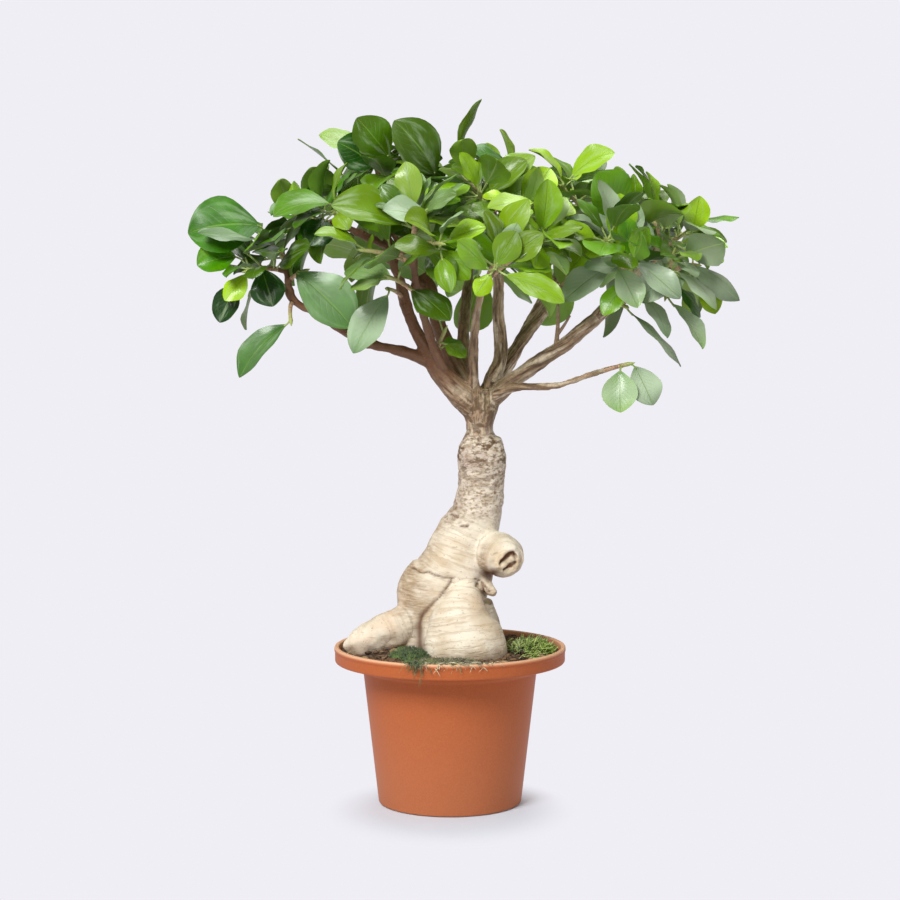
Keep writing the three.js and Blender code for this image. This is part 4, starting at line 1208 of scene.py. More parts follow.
@dataclass
class Wood:
    """The tree's wood, grown as one piece: swollen roots, trunk, sawn stub, limbs, and a
    spur for each twig, given as rows of x, y, z and radius."""

    spurs: list[Array]
    voxel: float = 1.18
    ring_height: float = 0.2
    groove_depth: float = 3.2
    damp_level: tuple[float, float] = (117, 109)
    trunk_level: tuple[float, float] = (187, 214)
    limb_level: tuple[float, float] = (254, 276)

    def tube(self, rows: Array, around: int, aside: Array, steps: int) -> Patch:
        """A closed tube along rows of x, y, z, half width and half depth, with rings between."""
        smooth = along(rows, np.linspace(0, 1, (len(rows) - 1) * steps + 1))
        return closed_tubes(tube_rings(smooth[:, :3], smooth[:, 3], smooth[:, 4], aside, around))

    def core(self) -> list[Patch]:
        """All tubes that the wood is joined from.

        Returns:
            Closed patches that overlap.
        """
        back = np.array([0.3, 1.0, 0])
        made = [self.tube(TRUNK, 48, RIGHT, 4), self.tube(TUBERS["front"], 40, RIGHT, 4)]
        made += [self.tube(TUBERS[k], 32, back, 5) for k in ("left", "backLeft", "backRight")]
        made += [self.tube(np.concatenate([STUB, STUB_DOME]), 32, UP, 4), self.tube(SNAG, 16, UP, 4)]
        made.append(self.tube(SHOULDER, 24, RIGHT, 4))
        for rows in [*LIMBS.values(), *self.spurs]:
            made.append(self.tube(rows[:, [0, 1, 2, 3, 3]], 12, LIMB_ASIDE, 4))
        return made

    def grown(self) -> tuple[Array, Array, Faces]:
        """One skin over all tubes, from a voxel remesh that is then smoothed.

        Returns:
            Its points in millimetres, their normals, and its faces of four corners.
        """
        piece = make_mesh("wood_skin", self.core(), [])
        skin = piece.modifiers.new("skin", "REMESH")
        skin.mode, skin.voxel_size, skin.use_smooth_shade = "VOXEL", self.voxel * MM, True
        soft = piece.modifiers.new("soft", "SMOOTH")
        soft.factor, soft.iterations = 0.5, 3
        apply_modifiers(piece)
        mesh = piece.data
        points = np.empty(len(mesh.vertices) * 3, np.float32)
        normals = np.empty_like(points)
        corners = np.empty(len(mesh.loops), np.int32)
        mesh.vertices.foreach_get("co", points)
        mesh.vertex_normals.foreach_get("vector", normals)
        mesh.loops.foreach_get("vertex_index", corners)
        bpy.data.objects.remove(piece)
        bpy.data.meshes.remove(mesh)
        points, normals = (a.reshape(-1, 3).astype(float) for a in (points / MM, normals))
        return points, normals, corners.reshape(-1, 4).astype(np.int64)

    def path(self, points: Array) -> tuple[Array, Array]:
        """Where each point lies along and across its own root, trunk, stub or limb.

        Args:
            points: Points in millimetres.

        Returns:
            Millimetres along the tube whose middle line is nearest for its thickness, and
            the way to the point from that line, (n, 3).
        """
        best = np.full(len(points), 1e9)
        way, across = np.zeros(len(points)), np.zeros((len(points), 3))
        for rows in (TRUNK, *TUBERS.values(), STUB, *LIMBS.values()):
            line = along(rows, np.linspace(0, 1, 60))
            gone = np.concatenate([[0], np.cumsum(lengths(np.diff(line[:, :3], axis=0)))])
            tangent = unit(np.gradient(line[:, :3], axis=0))
            margin = 1.5 * line[:, 3].max() + 4
            low, high = line[:, :3].min(0) - margin, line[:, :3].max(0) + margin
            near = np.flatnonzero(((points > low) & (points < high)).all(1))
            for part in np.array_split(near, len(near) // 20000 + 1):
                apart = lengths(points[part, None] - line[None, :, :3]) / line[:, 3]
                pick = apart.argmin(1)
                share = apart[np.arange(len(pick)), pick]
                closer = share < best[part]
                part, pick = part[closer], pick[closer]
                reach = points[part] - line[pick, :3]
                ahead = (reach * tangent[pick]).sum(1)
                best[part] = share[closer]
                way[part] = gone[pick] + ahead
                across[part] = reach - ahead[:, None] * tangent[pick]
        return way, across

    def cracks(self, points: Array, normals: Array) -> Array:
        """Nearness to the cracks on the front.

        Args:
            points: Points in millimetres.
            normals: Their normals.

        Returns:
            1 in the middle of a crack and 0 away from it.
        """
        made = np.zeros(len(points))
        wander = np.stack([noise(points, 5.0, 31), noise(points, 5.0, 37)], -1)
        flat = points[:, [0, 2]] + 0.9 * wander
        near = np.flatnonzero((normals[:, 1] < 0.25) & (points[:, 1] < 0) & (points[:, 2] < 215))
        made[near] = near_lines(flat[near], CRACKS)
        return made

    def stub_end(self, points: Array) -> tuple[Array, Array, Array]:
        """The stub's worn end: two grooves with a core of bare wood between them, and lumps
        all round.

        Args:
            points: Points in millimetres.

        Returns:
            How far each point moves, how dark the grooves are painted there as shade, and how bare the
            wood.
        """
        tip, heel = STUB[-1, :3], STUB[-2, :3]
        axis = unit(tip - heel)
        reach = points - tip
        deep = reach @ axis
        wide = lengths(reach - deep[:, None] * axis)
        face = smooth_step(-8.0, -4.0, deep) * smooth_step(15.0, 11.0, wide)
        wander = np.stack([noise(points, 3.4, 41), noise(points, 3.4, 61)], -1)
        near = np.flatnonzero(face > 0)
        groove = np.zeros(len(points))
        groove[near] = near_lines((reach[:, [0, 2]] + 0.7 * wander)[near], STUB_GROOVES)
        groove = face * groove
        lumps = face * (1 - groove) * (1.9 * noise(points, 4.5, 43) + 1.3 * noise(points, 2.6, 63))
        sunk = self.groove_depth * groove + face * bell((wide, 0, 7))
        bare = face * (1 - groove) * smooth_step(11.0, 6.0, wide)
        # Painted shade: the grooves are darkened as if shade filled them.
        dark = smooth_step(0.1, 0.9, groove) * (0.85 + 0.6 * noise(points, 2.4, 45))
        return axis * (lumps - sunk)[:, None], np.clip(dark, 0, 1), bare

    def bare_twigs(self) -> list[Patch]:
        """The bare twiglets on the right limb: closed tubes that are painted like the limbs."""
        tubes = [self.tube(rows[:, [0, 1, 2, 3, 3]], 8, LIMB_ASIDE, 3) for rows in TWIGLETS]
        return [Patch(t.points, t.faces, paint={"zone": np.full(len(t.points), 2.0)}) for t in tubes]

    def relief(self, points: Array, normals: Array, zone: Array, path: Array) -> dict[str, Array]:
        """How far the bark stands out from the smooth wood: rings and lumps on the roots,
        scales and pits on the trunk, cracks, and knots on the limbs.

        Args:
            points: Points in millimetres.
            normals: Their normals.
            zone: 0 on the roots, 1 on the trunk and 2 on the limbs.
            path: Millimetres along the root, trunk or limb.

        Returns:
            The height, and masks of the trunk, the left root, the stub, the pits and cracks.
        """
        roots, grey = np.clip(1 - zone, 0, 1), np.clip(1 - np.abs(zone - 1), 0, 1)
        knob = smooth_step(22, 8, lengths(points - STUB[2, :3]))
        tuber = smooth_step(-26, -44, points[:, 0])
        ringed = np.stack([points[:, 0] / 13, points[:, 1] / 13, path / 2.4 + noise(points, 16.0, 6)], -1)
        rings = noise(ringed, 1.0, 8) + 0.7 * noise(ringed * [1, 1, 0.45], 1.0, 9)
        lumps = 0.9 * noise(points, 19.0, 10) + 0.4 * noise(points, 8.0, 12)
        pit = smooth_step(0.4, 0.1, nearest_seed(points * [1, 1, 1.6], 5.2, 14)) * grey
        scales = 0.45 * noise(points * [1, 1, 1.8], 3.4, 16)
        scales = scales + 0.5 * noise(points * [0.7, 0.7, 1.5], 6.0, 18)
        crack = self.cracks(points, normals)
        knots = 0.3 * noise(points, 3.2, 20) + 0.5 * noise(points, 8.0, 24)
        height = lumps * (roots + 0.7 * grey) + self.ring_height * rings * roots * (1 - 0.8 * knob)
        height = height - 0.8 * self.ring_height * rings * roots * tuber
        height = height + tuber * (1.1 * noise(points, 9.0, 53) + 0.55 * noise(points, 3.6, 59))
        height = height + scales * grey
        height = height + knob * (0.8 * noise(points, 5.0, 51) + 2.0 * noise(points, 10.0, 55))
        height = height - 0.7 * pit - 1.5 * crack + smooth_step(1.4, 2.0, zone) * knots
        return {"height": height, "grey": grey, "tuber": tuber, "knob": knob, "pit": pit, "crack": crack}

    def stains(self, points: Array, z: Array, normals: Array, zone: Array, mask: dict[str, Array]) -> Array:
        """Where the bark is painted darker: staining below the bulge and at two spots under the fork, and
        painted shade on undersides, in the nook beside the stub, at the left edge and all along the limbs'
        bellies.

        Args:
            points: Points in millimetres, with the relief.
            z: Their heights without it.
            normals: Normals without it.
            zone: 0 on the roots, 1 on the trunk and 2 on the limbs.
            mask: The masks that the relief gives.

        Returns:
            Staining and painted shade, from 0 to 0.8.
        """
        x = points[:, 0]
        # The bulge is staining; the undersides, the tuber's lower faces, the faces turned to the left and
        # the nook beside the stub get painted shade.
        bulge, nook = bell((x, -28, 14), (z, 150, 20)), bell((x, 31, 6), (z, 157, 7)) * (points[:, 1] > -15)
        under = smooth_step(0.2, -0.8, normals[:, 2])
        shaded = 0.36 * mask["tuber"] * smooth_step(0.5, -0.3, normals[:, 2])
        edge = 0.8 * smooth_step(-0.35, -0.95, normals[:, 0]) * (z > 150)
        stain = 1.4 * bulge + 0.7 * under + shaded + 1.2 * nook + edge
        stain = stain * (0.7 + 0.6 * noise(points * [1, 1, 2.2], 7.0, 49))
        dim = bell((x, 18, 9), (z, 243, 11)) * (0.5 + 0.9 * noise(points, 6.0, 65))
        neck = bell((z, 271, 10)) * (0.55 + 0.9 * noise(points, 4.0, 67)) * (np.abs(x - 22) < 22)
        # On the limbs only the painted shade of the undersides is kept.
        stain = np.where(zone > 1.3, under, stain + 1.2 * mask["grey"] * dim) + 0.7 * neck
        return np.clip(0.85 * stain, 0, 0.8)

    def build(self) -> None:
        """The wood with lumps, rings, pits, cracks and the stub's hollow in its surface."""
        points, normals, faces = self.grown()
        z = points[:, 2]
        zone = smooth_step(*self.trunk_level, z + 7 * noise(points, 9.0, 2))
        zone = zone + smooth_step(*self.limb_level, z + 6 * noise(points, 9.0, 4))
        path, across = self.path(points)
        mask = self.relief(points, normals, zone, path)
        shift, hollow, bare = self.stub_end(points)
        points = points + normals * mask["height"][:, None] * (1 - hollow[:, None]) + shift
        torn = bell((lengths(points - SNAG[1, :3]), 0, 9))
        points = points + normals * (torn * noise(points, 2.4, 47))[:, None]
        damp = smooth_step(*self.damp_level, z + 5 * noise(points, 8.0, 22))
        # A painted shadow: a dark spot under the stub, where its shade falls on the trunk.
        dark = 1.15 * bell((points[:, 0], 28, 6.8), (z, 164.5, 5.0))
        painted = {
            "zone": zone, "path": path, "across_x": across[:, 0], "across_y": across[:, 1],
            # Cracks and pits are painted dark: partly their own colour, partly painted shade in the
            # recesses.
            "across_z": across[:, 2], "crack": np.clip(0.9 * mask["crack"] + 0.6 * mask["pit"], 0, 1),
            # The grooves' painted shade, the damp foot and the painted shadow under the stub.
            "hollow": np.clip(1.2 * hollow + 0.35 * damp + dark, 0, 1), "cut": 0.4 * bare,
            "plain": np.clip(mask["tuber"] + mask["knob"], 0, 1),
            "stain": self.stains(points, z, normals, zone, mask),
        }
        patches = [Patch(points, [faces], paint=painted), *self.bare_twigs()]
        settle(make_mesh("tree_wood", patches, [BARK.material()]), Slot.BARK, "trunk_and_limbs")


# Leaves

# Shoots: name, limb, place along it, twig end, leaves, blade length, youth.
SHOOTS = [
    ("farLeftTip", "leftBough", 1, (-128, -16, 392), 4, 44, 0.05),
    ("farLeftLow", "leftBough", 0.9, (-137, -30, 374), 3, 36, 0.1),
    ("leftHanging", "leftBough", 0.7, (-108, -43, 341), 0, 0, 0),
    ("leftShiny", "leftBough", 0.84, (-99, -36, 374), 0, 0, 0),
    ("leftShelfTip", "leftShelf", 1, (-98, 2, 410), 5, 38, 0.05),
    ("leftShelfMid", "leftShelf", 0.6, (-78, -26, 415), 5, 40, 0.1),
    ("leftPointed", "leftRiser", 0.78, (-68, 20, 430), 5, 42, 0.15),
    ("topLeftOut", "leftRiser", 1, (-50, 2, 450), 5, 46, 0.15),
    ("topLeftIn", "leftRiser", 0.84, (-18, -10, 444), 5, 46, 0.2),
    ("leftRiserLow", "leftRiser", 0.36, (-42, -42, 362), 0, 0, 0),
    ("midLeft", "leftFront", 0.75, (-58, -52, 388), 6, 46, 0.1),
    ("midLeftLow", "leftFront", 0.55, (-40, -68, 370), 4, 38, 0.1),
    ("frontLeft", "leftFront", 1, (-22, -76, 412), 6, 46, 0.15),
    ("frontLeftLow", "leftFront", 0.85, (-6, -92, 392), 5, 42, 0.25),
    ("upright", "centreStem", 1, (6, -2, 440), 5, 42, 0.2),
    ("midTop", "centreStem", 0.85, (20, -38, 426), 6, 42, 0.2),
    ("bright", "centreStem", 0.7, (54, -46, 416), 6, 42, 0.75),
    ("frontRosette", "centreFront", 1, (30, -94, 376), 2, 34, 0.35),
    ("frontRight", "centreFront", 0.8, (64, -66, 398), 6, 42, 0.4),
    ("rightTopIn", "rightBack", 0.86, (76, -4, 432), 6, 42, 0.4),
    ("rightTop", "rightLimb", 0.8, (108, -30, 422), 6, 44, 0.3),
    ("rightTopOut", "rightLimb", 1, (138, -18, 412), 6, 42, 0.15),
    ("farRight", "rightLimb", 0.88, (162, -14, 400), 4, 38, 0.2),
    ("frontRightOut", "rightLimb", 0.66, (104, -74, 394), 5, 40, 0.15),
    ("silver", "rightShelf", 0.3, (120, -66, 378), 3, 36, 0),
    ("rightShelfMid", "rightShelf", 0.65, (150, -60, 386), 5, 38, 0.1),
    ("farRightLow", "rightShelf", 1, (168, -26, 378), 4, 38, 0.1),
    ("droopOut", "rightShelf", 0.8, (146, -50, 358), 1, 32, 0),
    ("droopIn", "rightShelf", 0.2, (119, -47, 350), 0, 0, 0),
    ("lowPair", "rightLow", 1, (120, -46, 311), 0, 0, 0),
    ("backShelfMid", "backShelf", 0.7, (-82, 62, 422), 5, 42, 0.1),
    ("backShelfTip", "backShelf", 1, (-114, 38, 408), 5, 40, 0.1),
    ("backLeftTip", "backLeft", 1, (-56, 86, 404), 6, 46, 0.15),
    ("backLeftTop", "backLeft", 0.8, (-22, 52, 432), 6, 46, 0.15),
    ("backLeftLow", "backLeft", 0.62, (-62, 118, 380), 5, 46, 0.1),
    ("backMidTip", "backMid", 1, (-10, 128, 396), 6, 46, 0.2),
    ("backMidTop", "backMid", 0.8, (32, 92, 410), 6, 46, 0.15),
    ("backMidLow", "backMid", 0.85, (32, 146, 376), 5, 44, 0.1),
    ("centreBack", "centreStem", 0.78, (28, 42, 434), 6, 44, 0.2),
    ("centreRight", "centreStem", 0.9, (48, 8, 438), 5, 42, 0.3),
    ("rightBackTip", "rightBack", 1, (96, 66, 416), 6, 46, 0.2),
    ("rightBackOut", "rightBack", 0.72, (134, 80, 388), 5, 44, 0.1),
    ("rightBackTop", "rightBack", 0.92, (120, 32, 412), 5, 42, 0.15),
    ("farRightBack", "rightLimb", 0.78, (160, 40, 386), 5, 42, 0.1),
    ("backRightTip", "backRight", 1, (88, 118, 394), 6, 46, 0.15),
    ("backRightLow", "backRight", 0.72, (104, 132, 378), 5, 42, 0.1),
    ("innerLow", "leftLimb", 0.75, (-4, -22, 332), 3, 22, 0.2),
]

# Leaves that stand out in the outline: shoot, blade base, blade tip, way the upper face
# looks, width, bend in degrees, youth, silver (a painted sheen for reflected light).
NAMED_LEAVES = [
    ("leftHanging", (-111, -42, 338), (-143, -46, 302), (-0.5, -0.8, 0.5), 25, 45, 0.0, 0.1),
    ("farLeftTip", (-130, -22, 405), (-179, -28, 400), (-0.15, -0.85, 0.5), 46, 55, 0.0, 0.0),
    ("farLeftTip", (-132, -28, 396), (-170, -48, 400), (0.0, -0.45, 0.9), 24, 20, 0.0, 0.2),
    ("farLeftLow", (-146, -30, 384), (-172, -36, 378), (-0.3, -0.85, 0.4), 24, 30, 0.0, 0.0),
    ("farLeftLow", (-144, -34, 367), (-157, -36, 339), (-0.3, -0.9, 0.2), 19, 30, 0.0, 0.0),
    ("farLeftLow", (-138, -40, 372), (-152, -48, 354), (-0.2, -0.9, 0.3), 17, 20, 0.75, 0.0),
    ("farLeftLow", (-128, -36, 376), (-120, -44, 350), (0.1, -0.9, 0.3), 24, 20, 0.0, 0.0),
    ("leftShiny", (-104, -42, 373), (-66, -50, 336), (0.2, -0.85, 0.45), 36, 35, 0.0, 0.22),
    ("leftShelfMid", (-82, -32, 420), (-120, -38, 411), (-0.15, -0.6, 0.8), 30, 50, 0.1, 0.0),
    ("leftShelfMid", (-84, -34, 409), (-95, -46, 391), (0.0, -0.9, 0.35), 24, 30, 0.0, 0.0),
    ("leftRiserLow", (-42, -52, 358), (-65, -60, 319), (-0.35, -0.85, 0.35), 28, 30, 0.0, 0.6),
    ("leftPointed", (-74, 16, 440), (-106, 12, 466), (0.35, -0.1, 0.9), 15, 15, 0.1, 0.0),
    ("topLeftOut", (-52, -8, 446), (-77, -18, 462), (-0.1, -0.85, 0.5), 30, 45, 0.0, 0.0),
    ("topLeftOut", (-42, -4, 452), (-64, -12, 479), (-0.2, -0.85, 0.45), 30, 50, 0.1, 0.0),
    ("topLeftIn", (-10, -16, 440), (-38, -29, 476), (0.0, -0.85, 0.5), 36, 62, 0.1, 0.0),
    ("upright", (5, -2, 448), (22, -4, 492), (0.75, -0.35, -0.3), 13, -30, 0.3, 0.0),
    ("centreRight", (40, 2, 447), (13, -8, 458), (0.0, -0.6, 0.8), 20, 30, 0.0, 0.0),
    ("frontLeft", (-14, -82, 406), (-44, -96, 414), (0.1, -0.75, 0.65), 27, 45, 0.0, 0.55),
    ("frontLeftLow", (-8, -98, 388), (-36, -112, 390), (0.0, -0.7, 0.7), 23, 55, 0.2, 0.0),
    ("frontRosette", (25, -100, 375), (5, -116, 394), (0.3, -0.8, 0.5), 18, 20, 0.35, 0.0),
    ("frontRosette", (30, -101, 378), (43, -112, 400), (0.1, -0.9, 0.4), 20, 15, 0.3, 0.0),
    ("frontRosette", (36, -100, 372), (74, -112, 354), (0.25, -0.8, 0.55), 20, 25, 0.45, 0.0),
    ("bright", (56, -54, 420), (25, -68, 416), (0.0, -0.7, 0.7), 19, 25, 0.85, 0.0),
    ("rightTop", (116, -38, 412), (98, -52, 440), (-0.1, -0.85, 0.5), 34, 45, 0.15, 0.0),
    ("rightTopIn", (84, -8, 439), (113, -16, 455), (-0.2, -0.7, 0.7), 24, 50, 0.55, 0.0),
    ("farRight", (169, -16, 408), (199, -14, 411), (0.1, -0.15, 0.95), 14, 20, 0.1, 0.0),
    ("farRight", (166, -24, 401), (170, -32, 425), (0.1, -0.95, 0.15), 18, 20, 0.8, 0.0),
    ("farRightLow", (163, -32, 378), (197, -38, 354), (0.3, -0.4, 0.85), 30, 55, 0.0, 0.3),
    ("farRightLow", (172, -36, 366), (180, -42, 345), (0.2, -0.9, 0.2), 16, 15, 0.7, 0.0),
    ("silver", (112, -72, 376), (124, -84, 350), (0.1, -0.9, 0.35), 20, 20, 0.0, 0.7),
    ("silver", (124, -72, 380), (152, -84, 356), (0.2, -0.85, 0.45), 19, 25, 0.0, 0.6),
    ("droopIn", (122, -50, 346), (156, -54, 310), (0.6, -0.35, 0.6), 17, 25, 0.0, 0.75),
    ("droopOut", (150, -54, 352), (170, -60, 322), (0.55, -0.5, 0.55), 18, 30, 0.0, 0.7),
    ("lowPair", (115, -50, 307), (115, -58, 279), (-0.2, -0.95, 0.1), 25, 20, 0.0, 0.6),
    ("lowPair", (125, -50, 310), (137, -58, 284), (0.2, -0.95, 0.15), 23, 25, 0.0, 0.6),
]


def outline(u: Array) -> Array:
    """Half of a blade's outline for a width of 1: half of sin(pi u^1.2) to the power 0.72."""
    inside = np.clip(u, 0.0, 1.0)
    return 0.5 * np.clip(np.sin(math.pi * inside**1.2), 0.0, 1.0) ** 0.72


@dataclass
class Blades:
    """Any number of leaves as whole arrays. A blade is a sheet bent on a circle along its
    midrib and folded a little on it."""

    shoot: NDArray[np.int64]
    root: Array
    base: Array
    along: Array
    side: Array
    up: Array
    length: Array
    width: Array
    bend: Array
    fold: Array
    youth: Array
    # How much painted sheen, standing in for reflected light, each leaf carries.
    silver: Array

    @classmethod
    def one(
        cls, shoot: int, root: Array, base: Array, way: Array, hint: Array, sizes: tuple[float, ...]
    ) -> "Blades":
        """A single leaf.

        Args:
            shoot: Number of its shoot.
            root: Where its stalk leaves the twig.
            base: Where its blade starts.
            way: The way that the blade sets out.
            hint: The way that the upper face looks, roughly.
            sizes: Length, width, bend, fold, and its youth and silver, a painted sheen, from 0 to 1.

        Returns:
            The leaf, as arrays of one.
        """
        ahead = unit(way)
        side = unit(np.cross(ahead, hint))
        up = np.cross(side, ahead)
        frames = [v[None] for v in (root, base, ahead, side, up)]
        numbers = [np.array([float(x)]) for x in sizes]
        return cls(np.array([shoot]), *frames, *numbers)

    def joined(self, other: "Blades") -> "Blades":
        """These leaves and the other ones after them."""
        return Blades(*(np.concatenate(pair) for pair in zip(vars(self).values(), vars(other).values())))

    def picked(self, mask: NDArray) -> "Blades":
        """Only the leaves that a mask marks."""
        return Blades(*(values[mask] for values in vars(self).values()))

    def point(self, u: Array, v: Array, h: Array | float = 0.0) -> Array:
        """Points of every blade: forward by sin(turn)(radius + lift) and up by
        cos(turn)(radius + lift) - radius, with turn = bend u, radius = length / bend and
        lift = fold |half| + h, and sideways by half = v width outline(u).

        Args:
            u: Places from base to tip.
            v: Places across, from -1 to 1.
            h: Height above the sheet.

        Returns:
            Points, (leaves, places, 3).
        """
        turn = self.bend[:, None] * u
        half = v * self.width[:, None] * outline(u)
        radius = (self.length / self.bend)[:, None]
        lift = self.fold[:, None] * np.abs(half) + h
        forward = np.sin(turn) * (radius + lift)
        upward = np.cos(turn) * (radius + lift) - radius
        made = self.base[:, None] + self.along[:, None] * forward[..., None]
        return made + self.up[:, None] * upward[..., None] + self.side[:, None] * half[..., None]

    def samples(self) -> Array:
        """Fifty points on each blade, for telling leaves apart."""
        u = np.repeat(np.cumsum(np.full(10, 0.1)), 5)
        return self.point(u, np.tile([-1, -0.5, 0, 0.5, 1], 10))

    def stalks(self) -> Array:
        """Three points on each stalk."""
        t = np.array([0.35, 0.7, 1.0])[:, None]
        return self.root[:, None] * (1 - t) + self.base[:, None] * t

    def middles(self) -> Array:
        """The middle of each blade."""
        return self.point(np.array([0.5]), np.array([0.0]))[:, 0]

    def meets(self, points: Array, gap: Array) -> NDArray:
        """Whether points come too near the blades.

        Args:
            points: Points, (n, 3), for every blade.
            gap: Least height over the sheet, shaped to go with (leaves, n).

        Returns:
            A mask, (leaves, n).
        """
        reach = points[None] - self.base[:, None]
        radius = (self.length / self.bend)[:, None]
        sign = np.sign(radius)
        y = np.einsum("knc,kc->kn", reach, self.side)
        x = np.einsum("knc,kc->kn", reach, self.along) * sign
        z = (np.einsum("knc,kc->kn", reach, self.up) + radius) * sign
        height = (np.hypot(x, z) - np.abs(radius)) * sign - self.fold[:, None] * np.abs(y)
        u = np.arctan2(x, z) / np.abs(self.bend)[:, None]
        edge = self.width[:, None] * outline(np.clip(u, 0.03, 0.97)) + 1.0
        return (np.abs(height) < gap) & (u > -0.04) & (u < 1.03) & (np.abs(y) < edge)


class Draws:
    """A seeded stream of draws from 0 to 1: a whole number multiplied and wrapped."""

    def __init__(self, seed: int) -> None:
        """Starts the stream and throws its first draw away."""
        self.state = seed * 7919 % 2147483647
        self()

    def __call__(self) -> float:
        """The next draw."""
        self.state = self.state * 16807 % 2147483647
        return self.state / 2147483647


@dataclass
class Twig:
    """A shoot's twig: it leaves its limb along the limb and turns to its own end."""

    name: str
    rows: Array
    place: float
    end: Array
    start: Array = field(init=False)
    ahead: Array = field(init=False)
    reach: float = field(init=False)
    control: Array = field(init=False)
    thick: float = field(init=False)
    spur: float = 0.0

    def __post_init__(self) -> None:
        """Finds where the twig starts, the way it sets out and how it turns."""
        self.start = along(self.rows, self.place)
        if self.place == 1:
            self.ahead = unit(self.rows[-1, :3] - self.rows[-2, :3])
        else:
            chord = along(self.rows, self.place + 0.02) - along(self.rows, self.place - 0.02)
            self.ahead = chord[:3] / np.linalg.norm(chord)
        self.reach = float(np.linalg.norm(self.start[:3] - self.end))
        self.control = self.start[:3] + self.ahead * self.reach * 0.35
        self.thick = min(1.9, float(self.start[3]))

    def at(self, t: Array | float) -> Array:
        """The twig's middle line and radius: a quadratic curve and a straight taper.

        Args:
            t: Places from 0 at the limb to 1 at the twig's end.

        Returns:
            x, y, z and radius at each place.
        """
        t = np.asarray(t, float)[..., None]
        line = curve(self.start[:3], self.control, self.end, t)
        return np.concatenate([line, self.thick + (1.2 - self.thick) * t], -1)

    def facing(self, t: float) -> Array:
        """The way that the twig runs at a place."""
        return self.ahead if t < 0.01 else unit((self.at(t + 0.01) - self.at(t - 0.01))[:3])

    def find_spur(self, a: Array, b: Array, radius: Array) -> None:
        """Sets where the twig has come clear of all limbs, which is where its spur ends.

        Args:
            a: Starts of the limbs' segments.
            b: Their ends.
            radius: Their radii.
        """
        if self.place == 1:
            return
        places = 0.06 + np.cumsum(np.full(27, 0.02)) - 0.02
        rows = self.at(places)
        clear = (to_segments(rows[:, :3], a, b) > radius + rows[:, 3:] + 1.5).all(1)
        self.spur = float(places[clear.argmax()]) if clear.any() else 0.6


@dataclass(frozen=True)
class Gaps:
    """How far a new leaf keeps from other blades and from wood, in millimetres."""

    own: float = 1.5
    others: float = 3.3
    twig: float = 0.6
    wood: float = 2.6


# The crown seen from the front, at the depth of the trunk: x, lowest and highest leaf edge.
CROWN_EDGE = table([
    (-178, 385, 424), (-160, 370, 428), (-142, 362, 425), (-130, 362, 412), (-112, 372, 425),
    (-95, 395, 438), (-78, 412, 443), (-68, 420, 466), (-50, 415, 478), (-24, 375, 480),
    (-4, 355, 474), (8, 352, 459), (35, 360, 457), (63, 365, 453), (95, 375, 459),
    (126, 370, 450), (150, 360, 434), (175, 355, 420), (196, 385, 413),
])


